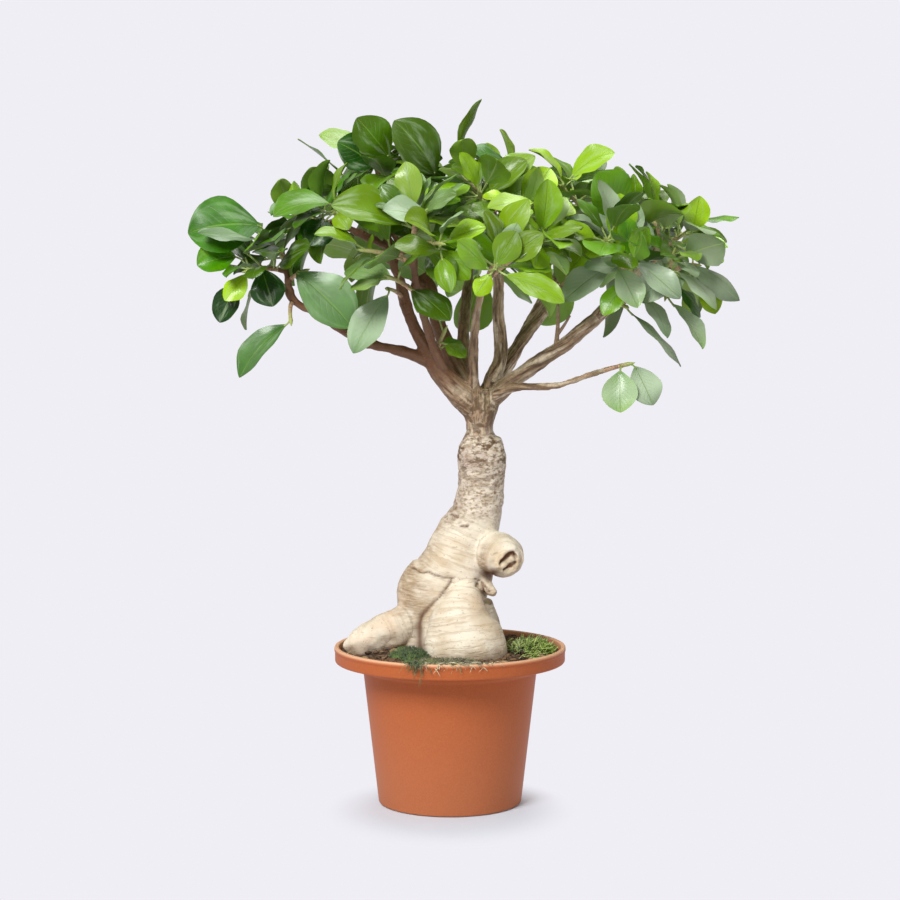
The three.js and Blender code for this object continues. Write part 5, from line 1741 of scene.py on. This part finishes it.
@dataclass
class Canopy:
    """All shoots and their leaves, placed by the same seeded rule as the solids, and then
    thickened with further leaves."""

    twigs: list[Twig] = field(init=False)
    wood: list[Array] = field(init=False)
    owner: Faces = field(init=False)
    leaves: Blades = field(init=False)
    rounds: int = 16
    close: Gaps = Gaps(own=0.9, others=1.2, twig=0.4, wood=0.9)
    depth_middle: float = 27.0
    half_depth: float = 149.0

    def __post_init__(self) -> None:
        """Lays out twigs and spurs, then the named leaves, then each shoot's own."""
        segments = [self.segments(rows) for rows in LIMBS.values()]
        limbs = [np.concatenate(part) for part in zip(*segments)]
        self.twigs = [Twig(s[0], LIMBS[s[1]], s[2], table(s[3])) for s in SHOOTS]
        for twig in self.twigs:
            twig.find_spur(*limbs)
        core = [self.segments(rows) for rows in (TRUNK, *TUBERS.values())]
        own = [self.segments(twig.at(np.linspace(0, 1, 5))) for twig in self.twigs]
        self.wood = [np.concatenate(part) for part in zip(*segments, *core, *own)]
        bare = sum(len(part[0]) for part in segments + core)
        self.owner = np.concatenate([np.full(bare, -1), np.repeat(np.arange(len(own)), 4)])
        index = {twig.name: i for i, twig in enumerate(self.twigs)}
        named = [self.named_leaf(index[row[0]], row) for row in NAMED_LEAVES]
        self.leaves = named[0]
        for leaf in named[1:]:
            self.leaves = self.leaves.joined(leaf)
        for i in range(len(self.twigs)):
            self.grow(i)
        self.thicken()

    @staticmethod
    def segments(rows: Array) -> tuple[Array, Array, Array]:
        """Starts, ends and radii of a table's segments."""
        return rows[:-1, :3], rows[1:, :3], np.maximum(rows[:-1, 3], rows[1:, 3])

    @staticmethod
    def outward(point: Array) -> Array:
        """The level way from the crown's middle to a point."""
        return unit((point - CROWN_MIDDLE) * [1, 1, 0])

    def named_leaf(self, i: int, row: tuple) -> Blades:
        """A leaf that stands out in the outline, from its base to its tip.

        Args:
            i: Number of its shoot.
            row: Its row in the table.

        Returns:
            The leaf.
        """
        _, base, tip, facing, width, degrees, youth, silver = row
        base, tip, twig = table(base), table(tip), self.twigs[i]
        half = math.radians(degrees) / 2
        length = float(np.linalg.norm(base - tip)) * half / math.sin(half)
        straight = unit(tip - base)
        side = unit(np.cross(straight, table(facing)))
        up = np.cross(side, straight)
        way = straight * math.cos(half) + up * math.sin(half)
        places = np.concatenate([[1.0], 1.0 - np.cumsum(np.full(50, 0.02))])
        places = places[(places > twig.spur + 0.1 * (1 - twig.spur)) | (places == 1.0)]
        spots = twig.at(places)[:, :3]
        root = spots[lengths(spots - base).argmin()]
        return Blades.one(i, root, base, way, up, (length, width, 2 * half, 0.09, youth, silver))

    def is_clear(self, leaf: Blades, gaps: Gaps = Gaps()) -> bool:
        """Whether a leaf keeps its distance from all placed leaves and all wood.

        Args:
            leaf: The leaf.
            gaps: The distances.

        Returns:
            True where it does.
        """
        middle, radius = leaf.middles()[0], leaf.length[0] * 0.5 + 3
        samples, stalk = leaf.samples()[0], leaf.stalks()[0]
        apart = lengths(self.leaves.middles() - middle)
        near = self.leaves.picked(apart <= self.leaves.length * 0.5 + 3 + radius)
        if len(near.shoot):
            own = near.shoot == leaf.shoot[0]
            gap = np.where(own, gaps.own, gaps.others)
            if near.meets(samples, gap[:, None]).any():
                return False
            if leaf.meets(near.samples().reshape(-1, 3), np.repeat(gap, 50)[None]).any():
                return False
            others = near.picked(~own)
            if len(others.shoot):
                if others.meets(stalk, np.float64(gaps.others)).any():
                    return False
                if leaf.meets(others.stalks().reshape(-1, 3), np.float64(gaps.others)).any():
                    return False
        a, b, thick = self.wood
        close = to_segments(middle[None], a, b)[0] <= thick + radius + gaps.wood
        own = (self.owner == leaf.shoot[0])[close]
        gap = thick[close] + np.where(own, gaps.twig, gaps.wood)
        far = to_segments(np.concatenate([samples, stalk]), a[close], b[close])
        hit = far < gap
        hit[len(samples):, own] = False
        return not hit.any()

    def grow(self, i: int) -> None:
        """The leaves of a shoot, oldest turned out and youngest upright, on the golden
        angle round the twig's end. One that would cross another is turned aside, opened or
        shortened, and is left out where nothing helps.

        Args:
            i: Number of the shoot.
        """
        _, _, _, _, count, size, fresh = SHOOTS[i]
        twig, draw = self.twigs[i], Draws(i + 11)
        tip = twig.at(1.0)[:3]
        axis = unit(tip - twig.at(0.86)[:3])
        light = unit(axis * 0.4 + self.outward(tip) * 0.7 + UP)
        start = draw() * 2 * math.pi
        span = min(24 / twig.reach, (1 - twig.spur) * 0.9)
        across = unit(np.cross(axis, TWIG_ASIDE))
        over = np.cross(axis, across)
        for k in range(count):
            age = k / (count - 1) if count > 1 else 1.0
            turn = start + k * GOLDEN + (draw() - 0.5) * 0.4
            opened = math.radians(36 + 52 * age**0.8 + (draw() - 0.5) * 16)
            length = size * (0.66 + 0.42 * min(1, 1.5 * age) + (draw() - 0.5) * 0.16)
            width = length * (0.54 + 0.12 * draw())
            bend = math.radians(22 + 34 * draw())
            fold = 0.06 + 0.1 * draw()
            stalk = 6 + 4 * draw()
            roll = (draw() - 0.5) * 0.5
            root = twig.at(1 - (0.06 + age * 0.94) * span)[:3]
            youth = min(1.0, fresh + 0.3 * (1 - age))
            for step in (0, 1, -1, 2, -2, 3, -3, 4, -4, 5, -5, 6, -6):
                tried = abs(step)
                angle = turn + step * 0.2
                tilt = opened + (0.05 if tried % 2 else -0.05) * tried
                radial = across * math.cos(angle) + over * math.sin(angle)
                way = axis * math.cos(tilt) + radial * math.sin(tilt) + UP * 0.12
                hint = light + unit(np.cross(unit(way), light)) * roll
                shrink = 1 - 0.03 * tried
                sizes = (length * shrink, width * shrink, bend, fold, youth, 0.0)
                leaf = Blades.one(i, root, root + unit(way) * stalk, way, hint, sizes)
                if self.is_clear(leaf):
                    self.leaves = self.leaves.joined(leaf)
                    break

    def inside(self, leaf: Blades) -> bool:
        """Whether a leaf stays within the crown's edge as the camera sees it: its points are
        drawn together towards the eye's height by their depth before they are compared.

        Args:
            leaf: The leaf.

        Returns:
            True where all its points do.
        """
        p = leaf.samples()[0]
        near = EYE_BACK / (EYE_BACK + p[:, 1])
        x, z = p[:, 0] * near, EYE_HIGH + (p[:, 2] - EYE_HIGH) * near
        low, high = (np.interp(x, CROWN_EDGE[:, 0], CROWN_EDGE[:, k]) for k in (1, 2))
        left, right = CROWN_EDGE[[0, -1], 0]
        within = (np.abs(p[:, 1] - self.depth_middle) < self.half_depth) & (x > left) & (x < right)
        return bool((within & (z > low) & (z < high)).all())

    def thicken(self) -> None:
        """More leaves between the shoots' own, a round at a time with one on each twig:
        each stands anywhere on its twig, turned and opened at random, and is kept where it
        is clear of all others and inside the crown."""
        rng = np.random.default_rng(61)
        for _ in range(self.rounds):
            for i, row in enumerate(SHOOTS):
                if row[4]:
                    self.fill(i, rng)

    def fill(self, i: int, rng: np.random.Generator) -> None:
        """Tries to add one leaf to a shoot.

        Args:
            i: Number of the shoot.
            rng: The draws.
        """
        twig = self.twigs[i]
        outward = self.outward(twig.end)
        for tried in range(8):
            t = rng.uniform(twig.spur + 0.2 * (1 - twig.spur), 1.0)
            root, axis = twig.at(t)[:3], twig.facing(min(t, 0.98))
            across = unit(np.cross(axis, TWIG_ASIDE))
            angle, tilt = rng.uniform(0, 2 * math.pi), math.radians(rng.uniform(30, 100))
            radial = across * math.cos(angle) + np.cross(axis, across) * math.sin(angle)
            way = unit(axis * math.cos(tilt) + radial * math.sin(tilt) + UP * 0.15)
            light = unit(way * 0.3 + outward * rng.uniform(0.3, 1.0) + UP)
            hint = light + rng.normal(0, 0.25, 3)
            length = rng.uniform(30, 45) * (1 - 0.05 * tried)
            bend, fold = math.radians(rng.uniform(20, 58)), rng.uniform(0.05, 0.16)
            width = length * rng.uniform(0.54, 0.66)
            base = root + way * rng.uniform(7, 14)
            youth = min(1.0, SHOOTS[i][6] * rng.uniform(0.4, 1.4))
            leaf = Blades.one(i, root, base, way, hint, (length, width, bend, fold, youth, 0.0))
            if self.inside(leaf) and self.is_clear(leaf, self.close):
                self.leaves = self.leaves.joined(leaf)
                return

    def spurs(self) -> list[Array]:
        """x, y, z and radius along the short spurs that the wood keeps for its twigs."""
        return [twig.at(np.linspace(0, twig.spur, 4)) for twig in self.twigs if twig.spur > 0]

    def build(self) -> None:
        """Makes one leafy piece for each shoot."""
        for i, twig in enumerate(self.twigs):
            Sprig(i, twig, self.leaves.picked(self.leaves.shoot == i)).build()


@dataclass
class Sprig:
    """A leafy shoot: its twig with a bud, leaf stalks and blades."""

    number: int
    twig: Twig
    leaves: Blades
    stations: int = 17
    thickness: float = 0.45
    wave: float = 0.9
    cup: float = 0.21
    twist: float = 0.13

    def blades(self) -> Patch:
        """Blades as closed shells: five points across the upper face and three below, with
        a wavy rim, a little twist and a raised midrib below. Both faces are split along the
        same diagonals, so the thin rim never shows the face behind it.

        Returns:
            All blades of the shoot, with their upper and lower faces in their own finishes.
        """
        n = len(self.leaves.shoot)
        share = np.linspace(0, 1, self.stations)
        u = 0.5 * (1 - np.cos(math.pi * (0.04 + 0.955 * share)))
        v = np.array([-1, -0.55, 0, 0.55, 1, 0.55, 0, -0.55])
        below = np.array([0, 0, 0, 0, 0, 1, 1.9, 1])
        uu, vv = (grid.ravel() for grid in np.meshgrid(u, v, indexing="ij"))
        drop = np.tile(below, self.stations) * self.thickness
        groove = np.where((vv == 0) & (drop == 0), 0.25, 0.0)
        rng = np.random.default_rng(100 + self.number)
        phase = rng.uniform(0, 2 * math.pi, (n, 2))
        wave = self.wave * np.sin(uu * 13 + phase[:, :1] + (vv > 0) * phase[:, 1:]) * vv**2
        cup = rng.normal(0.0, self.cup, (n, 1)) * self.leaves.width[:, None] * outline(uu) * vv**2
        twist = rng.normal(0.0, self.twist, (n, 1)) * uu * vv * self.leaves.width[:, None] * outline(uu)
        height = wave * outline(uu) * 2 - drop - groove + cup + twist
        points = self.leaves.point(uu, vv, height)
        ring = ring_faces(self.stations, 8).reshape(-1, 8, 4)
        start = np.arange(n)[:, None, None] * len(uu)
        upper = ring[:, :4][..., [[0, 1, 2], [0, 2, 3]]]
        lower = ring[:, 4:][..., [[0, 1, 3], [1, 2, 3]]]
        upper, lower = ((side.reshape(1, -1, 3) + start).reshape(-1, 3) for side in (upper, lower))
        uv = np.tile(np.stack([uu, 0.5 + 0.5 * vv], -1), (n, 1))
        right, low = smooth_step(-70, 10, self.twig.end[0]), smooth_step(430, 400, self.twig.end[2])
        far = smooth_step(-110, -150, self.twig.end[0])
        shade = (0.5 + 0.42 * right + 0.25 * far) * (0.74 + 0.26 * low) * rng.uniform(-0.2, 1, n)
        # Painted sheen: some leaves on the right turn silver, palest in the middle of the blade, standing
        # in for reflected light.
        pale = 0.8 * low * right * smooth_step(0.6, 0.88, rng.uniform(0, 1, n))
        pale = np.maximum(self.leaves.silver, pale)
        silver = pale[:, None] * (0.45 + 0.8 * np.sin(math.pi * uu))
        paint = {
            "shade": np.repeat(shade, len(uu)),
            "youth": np.repeat(self.leaves.youth, len(uu)),
            "silver": silver.ravel(),
        }
        faces = [upper, lower, *end_faces(self.stations, 8, n)]
        return Patch(points.reshape(-1, 3), faces, [0, 1, 1, 1], uv, paint)

    def stalks(self) -> Patch:
        """Leaf stalks: six-sided tubes on a quadratic curve that ends along the midrib.

        Returns:
            A patch of closed tubes.
        """
        leaves = self.leaves
        n, steps, around = len(leaves.shoot), 6, 6
        t = np.linspace(0, 1, steps)[:, None]
        run = lengths(leaves.base - leaves.root)[:, None]
        end = leaves.base + leaves.along * 2.2 - leaves.up * 0.45
        bow = leaves.base - leaves.along * run * 0.35
        path = curve(leaves.root[:, None], bow[:, None], end[:, None], t)
        size = np.broadcast_to(0.85 - 0.75 * t[:, 0] * (1 - t[:, 0]), (n, steps))
        return closed_tubes(tube_rings(path, size, size, leaves.side[:, None], around), 2)

    def stem(self) -> Patch:
        """The twig with a swelling at each leaf, and its pointed bud.

        Returns:
            A closed tube that starts inside its spur.
        """
        twig, around = self.twig, 8
        start = max(twig.spur - 2.0 / twig.reach, 0.0)
        t = np.linspace(start, 1, 16)
        rows = twig.at(t)
        if start == 0:
            rows[0, :3] -= twig.ahead * 1.5
        size = rows[:, 3].copy()
        if len(self.leaves.shoot):
            near = lengths(rows[:, None, :3] - self.leaves.root[None]).min(1)
            size += 0.35 * bell((near, 0, 1.6))
        way = unit(rows[-1, :3] - twig.at(0.9)[:3])
        bud = np.array([(1.5, 1.35), (3.2, 1.0), (5.2, 0.45), (6.0, 0.12)])
        path = np.concatenate([rows[:, :3], rows[-1, :3] + way * bud[:, :1]])
        size = np.concatenate([size, bud[:, 1]])
        rings = tube_rings(path, size, size, LIMB_ASIDE, around)
        green = np.concatenate([0.7 * smooth_step(0.6, 1.0, t), np.ones(len(bud))])
        return closed_tubes(rings, 3, np.repeat(green, around))

    def build(self) -> None:
        """The shoot as one piece."""
        patches = [self.blades(), self.stalks()] if len(self.leaves.shoot) else []
        patches.append(self.stem())
        finishes = [LEAF_TOP, LEAF_UNDER, PETIOLE, GREEN_WOOD]
        piece = make_mesh("sprig_" + self.twig.name, patches, [f.material() for f in finishes])
        piece.data.set_sharp_from_angle(angle=math.radians(60))
        settle(piece, Slot.LEAF, "shoot_" + self.twig.name)


# Moss


def spears(root: Array, way: Array, length: Array, width: Array, droop: Array, tint: Array) -> Patch:
    """Tapering three-sided blades: root + way t + a droop downwards that grows with t
    squared, and a width that falls from the root to the tip.

    Args:
        root: Where each blade starts, (n, 3).
        way: The way that it sets out.
        length: Its length.
        width: Its half width at the root.
        droop: How far its tip sinks.
        tint: How pale it is, from 0 to 1.

    Returns:
        A patch of closed blades.
    """
    steps, around = 4, 3
    t = np.linspace(0, 1, steps)[:, None]
    ahead = unit(way)[:, None] * length[:, None, None]
    path = root[:, None] + ahead * t - UP * droop[:, None, None] * t * t
    size = width[:, None] * (1 - 0.85 * t[:, 0] ** 1.5)
    rings = tube_rings(path, size, size * 0.5, np.array([0.62, 0.71, 0.33]), around)
    return closed_tubes(rings, tint=np.repeat(tint, steps * around))


@dataclass
class Cushion:
    """A moss cushion: a low lumpy patch that follows the soil, covered with blades."""

    soil: Soil
    name: str
    x: float
    y: float
    long: float
    wide: float
    degrees: float
    blades: int
    blade: tuple[float, float]
    bright: float
    seed: int
    dome_height: float
    finish: Speckled = MOSS_GREEN
    coarse: float = 1.0
    sweep: float = 0.0

    def spot(self, share: Array, angle: Array, lift: Array | float = 0.0) -> Array:
        """Points of the cushion: an ellipse with a ragged edge, laid on the soil.

        Args:
            share: Places from the middle, 0, to the edge, 1.
            angle: Places round it.
            lift: Heights over the soil.

        Returns:
            Points in millimetres.
        """
        ragged = 1 + 0.12 * np.sin(3 * angle + self.x) + 0.07 * np.cos(5 * angle)
        a, b = self.long * share * ragged * np.cos(angle), self.wide * share * ragged * np.sin(angle)
        turn = math.radians(self.degrees)
        x = self.x + a * math.cos(turn) - b * math.sin(turn)
        y = self.y + a * math.sin(turn) + b * math.cos(turn)
        return self.soil.spots(x, y, lift)

    def dome(self, share: Array) -> Array:
        """Height of the cushion over the soil, by the distance from its middle."""
        return 0.9 + self.dome_height * np.clip(1 - share**2.6, 0, 1)

    def body(self) -> Patch:
        """The cushion's own form, closed below, with small bumps.

        Returns:
            A closed patch.
        """
        around = 48
        angle = turns(around)
        share = np.concatenate([[0.04, 0.95], np.linspace(1, 0.04, 16)])
        lift = np.concatenate([[0.0, 0.0], self.dome(share[2:]) - 0.8])
        ss, aa = np.meshgrid(share, angle, indexing="ij")
        points = self.spot(ss, aa, lift[:, None]).reshape(-1, 3)
        top = np.repeat(np.arange(len(share)) > 2, around)
        points[:, 2] += np.where(top, 0.9 * noise(points, 4.0, self.seed), 0.0)
        tint = self.bright * 0.4 * np.clip(noise(points, 5.0, self.seed + 1), 0, 1)
        return closed_tubes(points.reshape(len(share), around, 3), tint=tint)

    def fur(self) -> Patch:
        """Blades of moss all over the cushion, leaning out, seeded.

        Returns:
            A patch of closed blades.
        """
        rng = np.random.default_rng(self.seed)
        n = self.blades
        share, angle = np.sqrt(rng.uniform(0, 1, n)), rng.uniform(0, 2 * math.pi, n)
        root = self.spot(share, angle, self.dome(share) - 1.2)
        out = self.spot(share + 0.1, angle) - self.spot(share, angle)
        lean = rng.uniform(0.1, 0.9, (n, 1)) * share[:, None]
        way = unit(out) * lean + rng.normal(0, 0.35, (n, 3)) + UP * rng.uniform(0.5, 1.2, (n, 1))
        way = way + self.sweep * np.array([1.0, -0.35, 0.0]) * rng.uniform(0.3, 1.3, (n, 1))
        length = rng.uniform(*self.blade, n)
        width = self.coarse * rng.uniform(0.28, 0.5, n) * (0.6 + 0.11 * length)
        tint = np.clip(self.bright * rng.uniform(0, 1, n) ** 1.5, 0, 1)
        return spears(root, way, length, width, length * rng.uniform(0.05, 0.5, n), tint)

    def build(self, strands: Patch) -> None:
        """The cushion with its blades and the strands that grow from it."""
        patches = [self.body(), self.fur(), strands]
        settle(make_mesh("green_" + self.name, patches, [self.finish.material()]), Slot.MOSS, self.name)


@dataclass
class Moss:
    """The three cushions, and the strands that hang over the pot's front lip."""

    soil: Soil
    strands: int = 240
    trailing: int = 420
    spilling: int = 480
    spill_reach: float = 69.0
    lip_radius: float = 79.6
    lip_top: float = 111.6

    def fringe(self) -> Patch:
        """Strands that rise out of the soil by the lip and fall over it, seeded.

        Returns:
            A patch of closed strands.
        """
        rng = np.random.default_rng(77)
        n = self.strands
        angle = np.radians(-90 + rng.uniform(-25, 25, n) * np.sqrt(rng.uniform(0, 1, n)))
        out = np.stack([np.cos(angle), np.sin(angle), np.zeros(n)], -1)
        side = np.cross(out, UP)
        radius = self.lip_radius - rng.uniform(0, 9, n)
        root = out * radius[:, None]
        root[:, 2] = self.lip_top - rng.uniform(0.5, 2.5, n)
        way = out * rng.uniform(0.3, 1.0, (n, 1)) + side * rng.normal(0, 1.4, (n, 1)) + UP * 0.4
        length = rng.uniform(3.0, 11.0, n)
        tint, width = rng.uniform(0, 1, n) ** 0.9, rng.uniform(0.45, 1.0, n)
        return spears(root, way, length, width, length * rng.uniform(0.3, 0.9, n), tint)

    def spill(self) -> Patch:
        """Long strands combed from the right cushion and the trunk's foot towards the lip,
        shorter near it, seeded.

        Returns:
            A patch of closed strands.
        """
        rng = np.random.default_rng(79)
        n = self.spilling
        share = rng.uniform(0, 1, n)
        x = 45 + 15 * share + rng.normal(0, 4, n)
        y = -4 - 32 * share + rng.normal(0, 5, n)
        inward = np.minimum(1, self.spill_reach / np.hypot(x, y))
        x, y = x * inward, y * inward
        root = self.soil.spots(x, y, -0.6)
        way = np.array([0.75, -0.65, 0]) * rng.uniform(0.5, 1.3, (n, 1)) + rng.normal(0, 0.22, (n, 3))
        length = rng.uniform(5.0, 14.0, n) * (1 - 0.4 * share)
        tint = rng.uniform(0, 1, n) ** 1.3
        droop = length * rng.uniform(0.2, 0.5, n)
        way = way + UP * rng.uniform(0.3, 0.8, (n, 1))
        return spears(root, way, length, rng.uniform(0.5, 1.0, n), droop, tint)

    def trail(self) -> Patch:
        """Short blades from the left cushion to the lip and over it, seeded.

        Returns:
            A patch of closed blades.
        """
        rng = np.random.default_rng(78)
        n = self.trailing
        share = rng.uniform(0, 1, n)
        y = -52 - 26 * share
        x = -21.5 + rng.normal(0, 4.5, n) * (1.1 - 0.4 * share)
        root = np.stack([x, y, np.maximum(self.soil.top(x, y), self.lip_top * (share > 0.85)) - 0.6], -1)
        way = unit(root * [1, 1, 0]) * rng.uniform(0.2, 1.0, (n, 1)) + rng.normal(0, 0.5, (n, 3))
        way = way + UP * rng.uniform(0.4, 1.1, (n, 1))
        length = rng.uniform(2.5, 6.0, n) + 4.0 * (share > 0.8)
        droop = length * (0.2 + 0.9 * smooth_step(0.6, 1.0, share))
        return spears(root, way, length, rng.uniform(0.35, 0.7, n), droop, 0.3 * rng.uniform(0, 1, n) ** 2)

    def build(self) -> None:
        """Makes the three pieces of moss."""
        right = Cushion(
            self.soil, "mossRight", x=57, y=-13, long=18, wide=13, degrees=65, dome_height=3.6, bright=0.7,
            blades=620, blade=(3.0, 10.0), seed=5, finish=FRESH_MOSS, coarse=1.9, sweep=0.6,
        )
        left = Cushion(
            self.soil, "mossLeft", x=-27, y=-45, long=15, wide=9, degrees=-35, dome_height=5.0, bright=0.15,
            blades=1100, blade=(1.5, 4.5), seed=6,
        )
        front = Cushion(
            self.soil, "mossFront", x=-1, y=-65, long=24, wide=7.5, degrees=0, dome_height=3.0, bright=0.5,
            blades=900, blade=(1.2, 3.6), seed=7, finish=RIM_MOSS,
        )
        right.build(self.spill())
        left.build(self.trail())
        front.build(self.fringe())


# Studio


@dataclass
class Studio:
    """A pale floor that fades into the pale background, soft light, and the camera."""

    pale: Colour = srgb(240, 238, 245)
    floor_albedo: tuple[float, ...] = (0.8, 0.89, 0.93)
    floor_radius: float = 6.0
    fade_from: float = 0.052
    fade_to: float = 0.108
    fade_ahead: float = 0.028
    fade_narrow: float = 1.2
    eye: Place = (0.0, -EYE_BACK * MM, EYE_HIGH * MM)
    aim: Place = (0.0, 0.0, 0.249)
    tree_middle: Place = (0.0, 0.0, 0.25)
    focal: float = 91.72
    sky: float = 0.37

    def floor(self) -> None:
        """A disc under the pot: matt near it, and the background's own colour far away."""
        around = 64
        angle = turns(around)
        size = self.floor_radius / MM
        rim = np.stack([size * np.cos(angle), size * np.sin(angle), np.full(around, -0.4)], -1)
        made = bpy.data.materials.new("studio floor")
        made.use_nodes = True
        board = Board(made.node_tree)
        made.node_tree.nodes.remove(made.node_tree.nodes["Principled BSDF"])
        shade = tuple(c * albedo for c, albedo in zip(self.pale[:3], self.floor_albedo)) + (1.0,)
        matt = board.node("ShaderNodeBsdfDiffuse", {"Color": shade}).outputs[0]
        glow = board.node("ShaderNodeEmission", {"Color": self.pale, "Strength": 1.0}).outputs[0]
        inputs = {0: board.place(), 1: (self.fade_narrow, 1.0, 1.0), 2: (0.0, self.fade_ahead, 0.0)}
        place = board.node("ShaderNodeVectorMath", inputs, operation="MULTIPLY_ADD").outputs[0]
        reach = board.node("ShaderNodeVectorMath", {0: place}, operation="LENGTH").outputs["Value"]
        share = board.step(reach, self.fade_from, self.fade_to)
        blend = board.node("ShaderNodeMixShader", {0: share, 1: matt, 2: glow}).outputs[0]
        board.give(made.node_tree.nodes["Material Output"].inputs, Surface=blend)
        piece = make_mesh("studio_floor", [Patch(rim, [np.arange(around)[None]])], [made])

    def sky_light(self) -> None:
        """A pale background that lights the scene more softly than it looks."""
        world = bpy.data.worlds.new("studio")
        world.use_nodes = True
        bpy.context.scene.world = world
        board = Board(world.node_tree)
        shown = board.node("ShaderNodeBackground", {"Color": self.pale, "Strength": 1.0}).outputs[0]
        inputs = {"Color": srgb(248, 243, 232), "Strength": self.sky}
        lit = board.node("ShaderNodeBackground", inputs).outputs[0]
        seen = board.node("ShaderNodeLightPath").outputs["Is Camera Ray"]
        blend = board.node("ShaderNodeMixShader", {0: seen, 1: lit, 2: shown}).outputs[0]
        board.give(world.node_tree.nodes["World Output"].inputs, Surface=blend)

    def aimed(self, data: bpy.types.ID, place: Place, aim: Place) -> bpy.types.Object:
        """A lamp or camera that looks from one place to another.

        Args:
            data: The lamp's or camera's data.
            place: Where it hangs, in metres.
            aim: What it looks at.

        Returns:
            The object, linked to the scene.
        """
        made = bpy.data.objects.new(data.name, data)
        made.location = place
        made.rotation_euler = (Vector(aim) - Vector(place)).to_track_quat("-Z", "Y").to_euler()
        bpy.context.scene.collection.objects.link(made)
        return made

    def lamp(self, name: str, place: Place, size: float, power: float) -> None:
        """A square soft light that looks at the middle of the tree.

        Args:
            name: Its name.
            place: Where it hangs, in metres.
            size: Its side, in metres.
            power: Its power in watts.
        """
        data = bpy.data.lights.new(name, "AREA")
        data.size, data.energy = size, power
        self.aimed(data, place, self.tree_middle)

    def build(self) -> None:
        """Floor, light and camera, with colours shown as they are."""
        self.floor()
        self.sky_light()
        self.lamp("key", (-0.7, -1.35, 1.4), 0.7, 37.0)
        self.lamp("fill", (1.5, -0.8, 0.5), 1.2, 0.4)
        self.lamp("top", (0.2, 0.2, 1.9), 1.1, 20.0)
        data = bpy.data.cameras.new("camera")
        data.lens, data.sensor_width = self.focal, 36.0
        bpy.context.scene.camera = self.aimed(data, self.eye, self.aim)
        bpy.context.scene.view_settings.view_transform = "Standard"


def main() -> None:
    """Loads the frame and builds every piece around it."""
    logging.basicConfig(level=logging.INFO, format="%(name)s: %(message)s")
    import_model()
    Studio().build()
    Pot().build()
    soil = Soil()
    soil.build()
    canopy = Canopy()
    Wood(canopy.spurs()).build()
    canopy.build()
    Moss(soil).build()


if __name__ == "__main__":
    main()
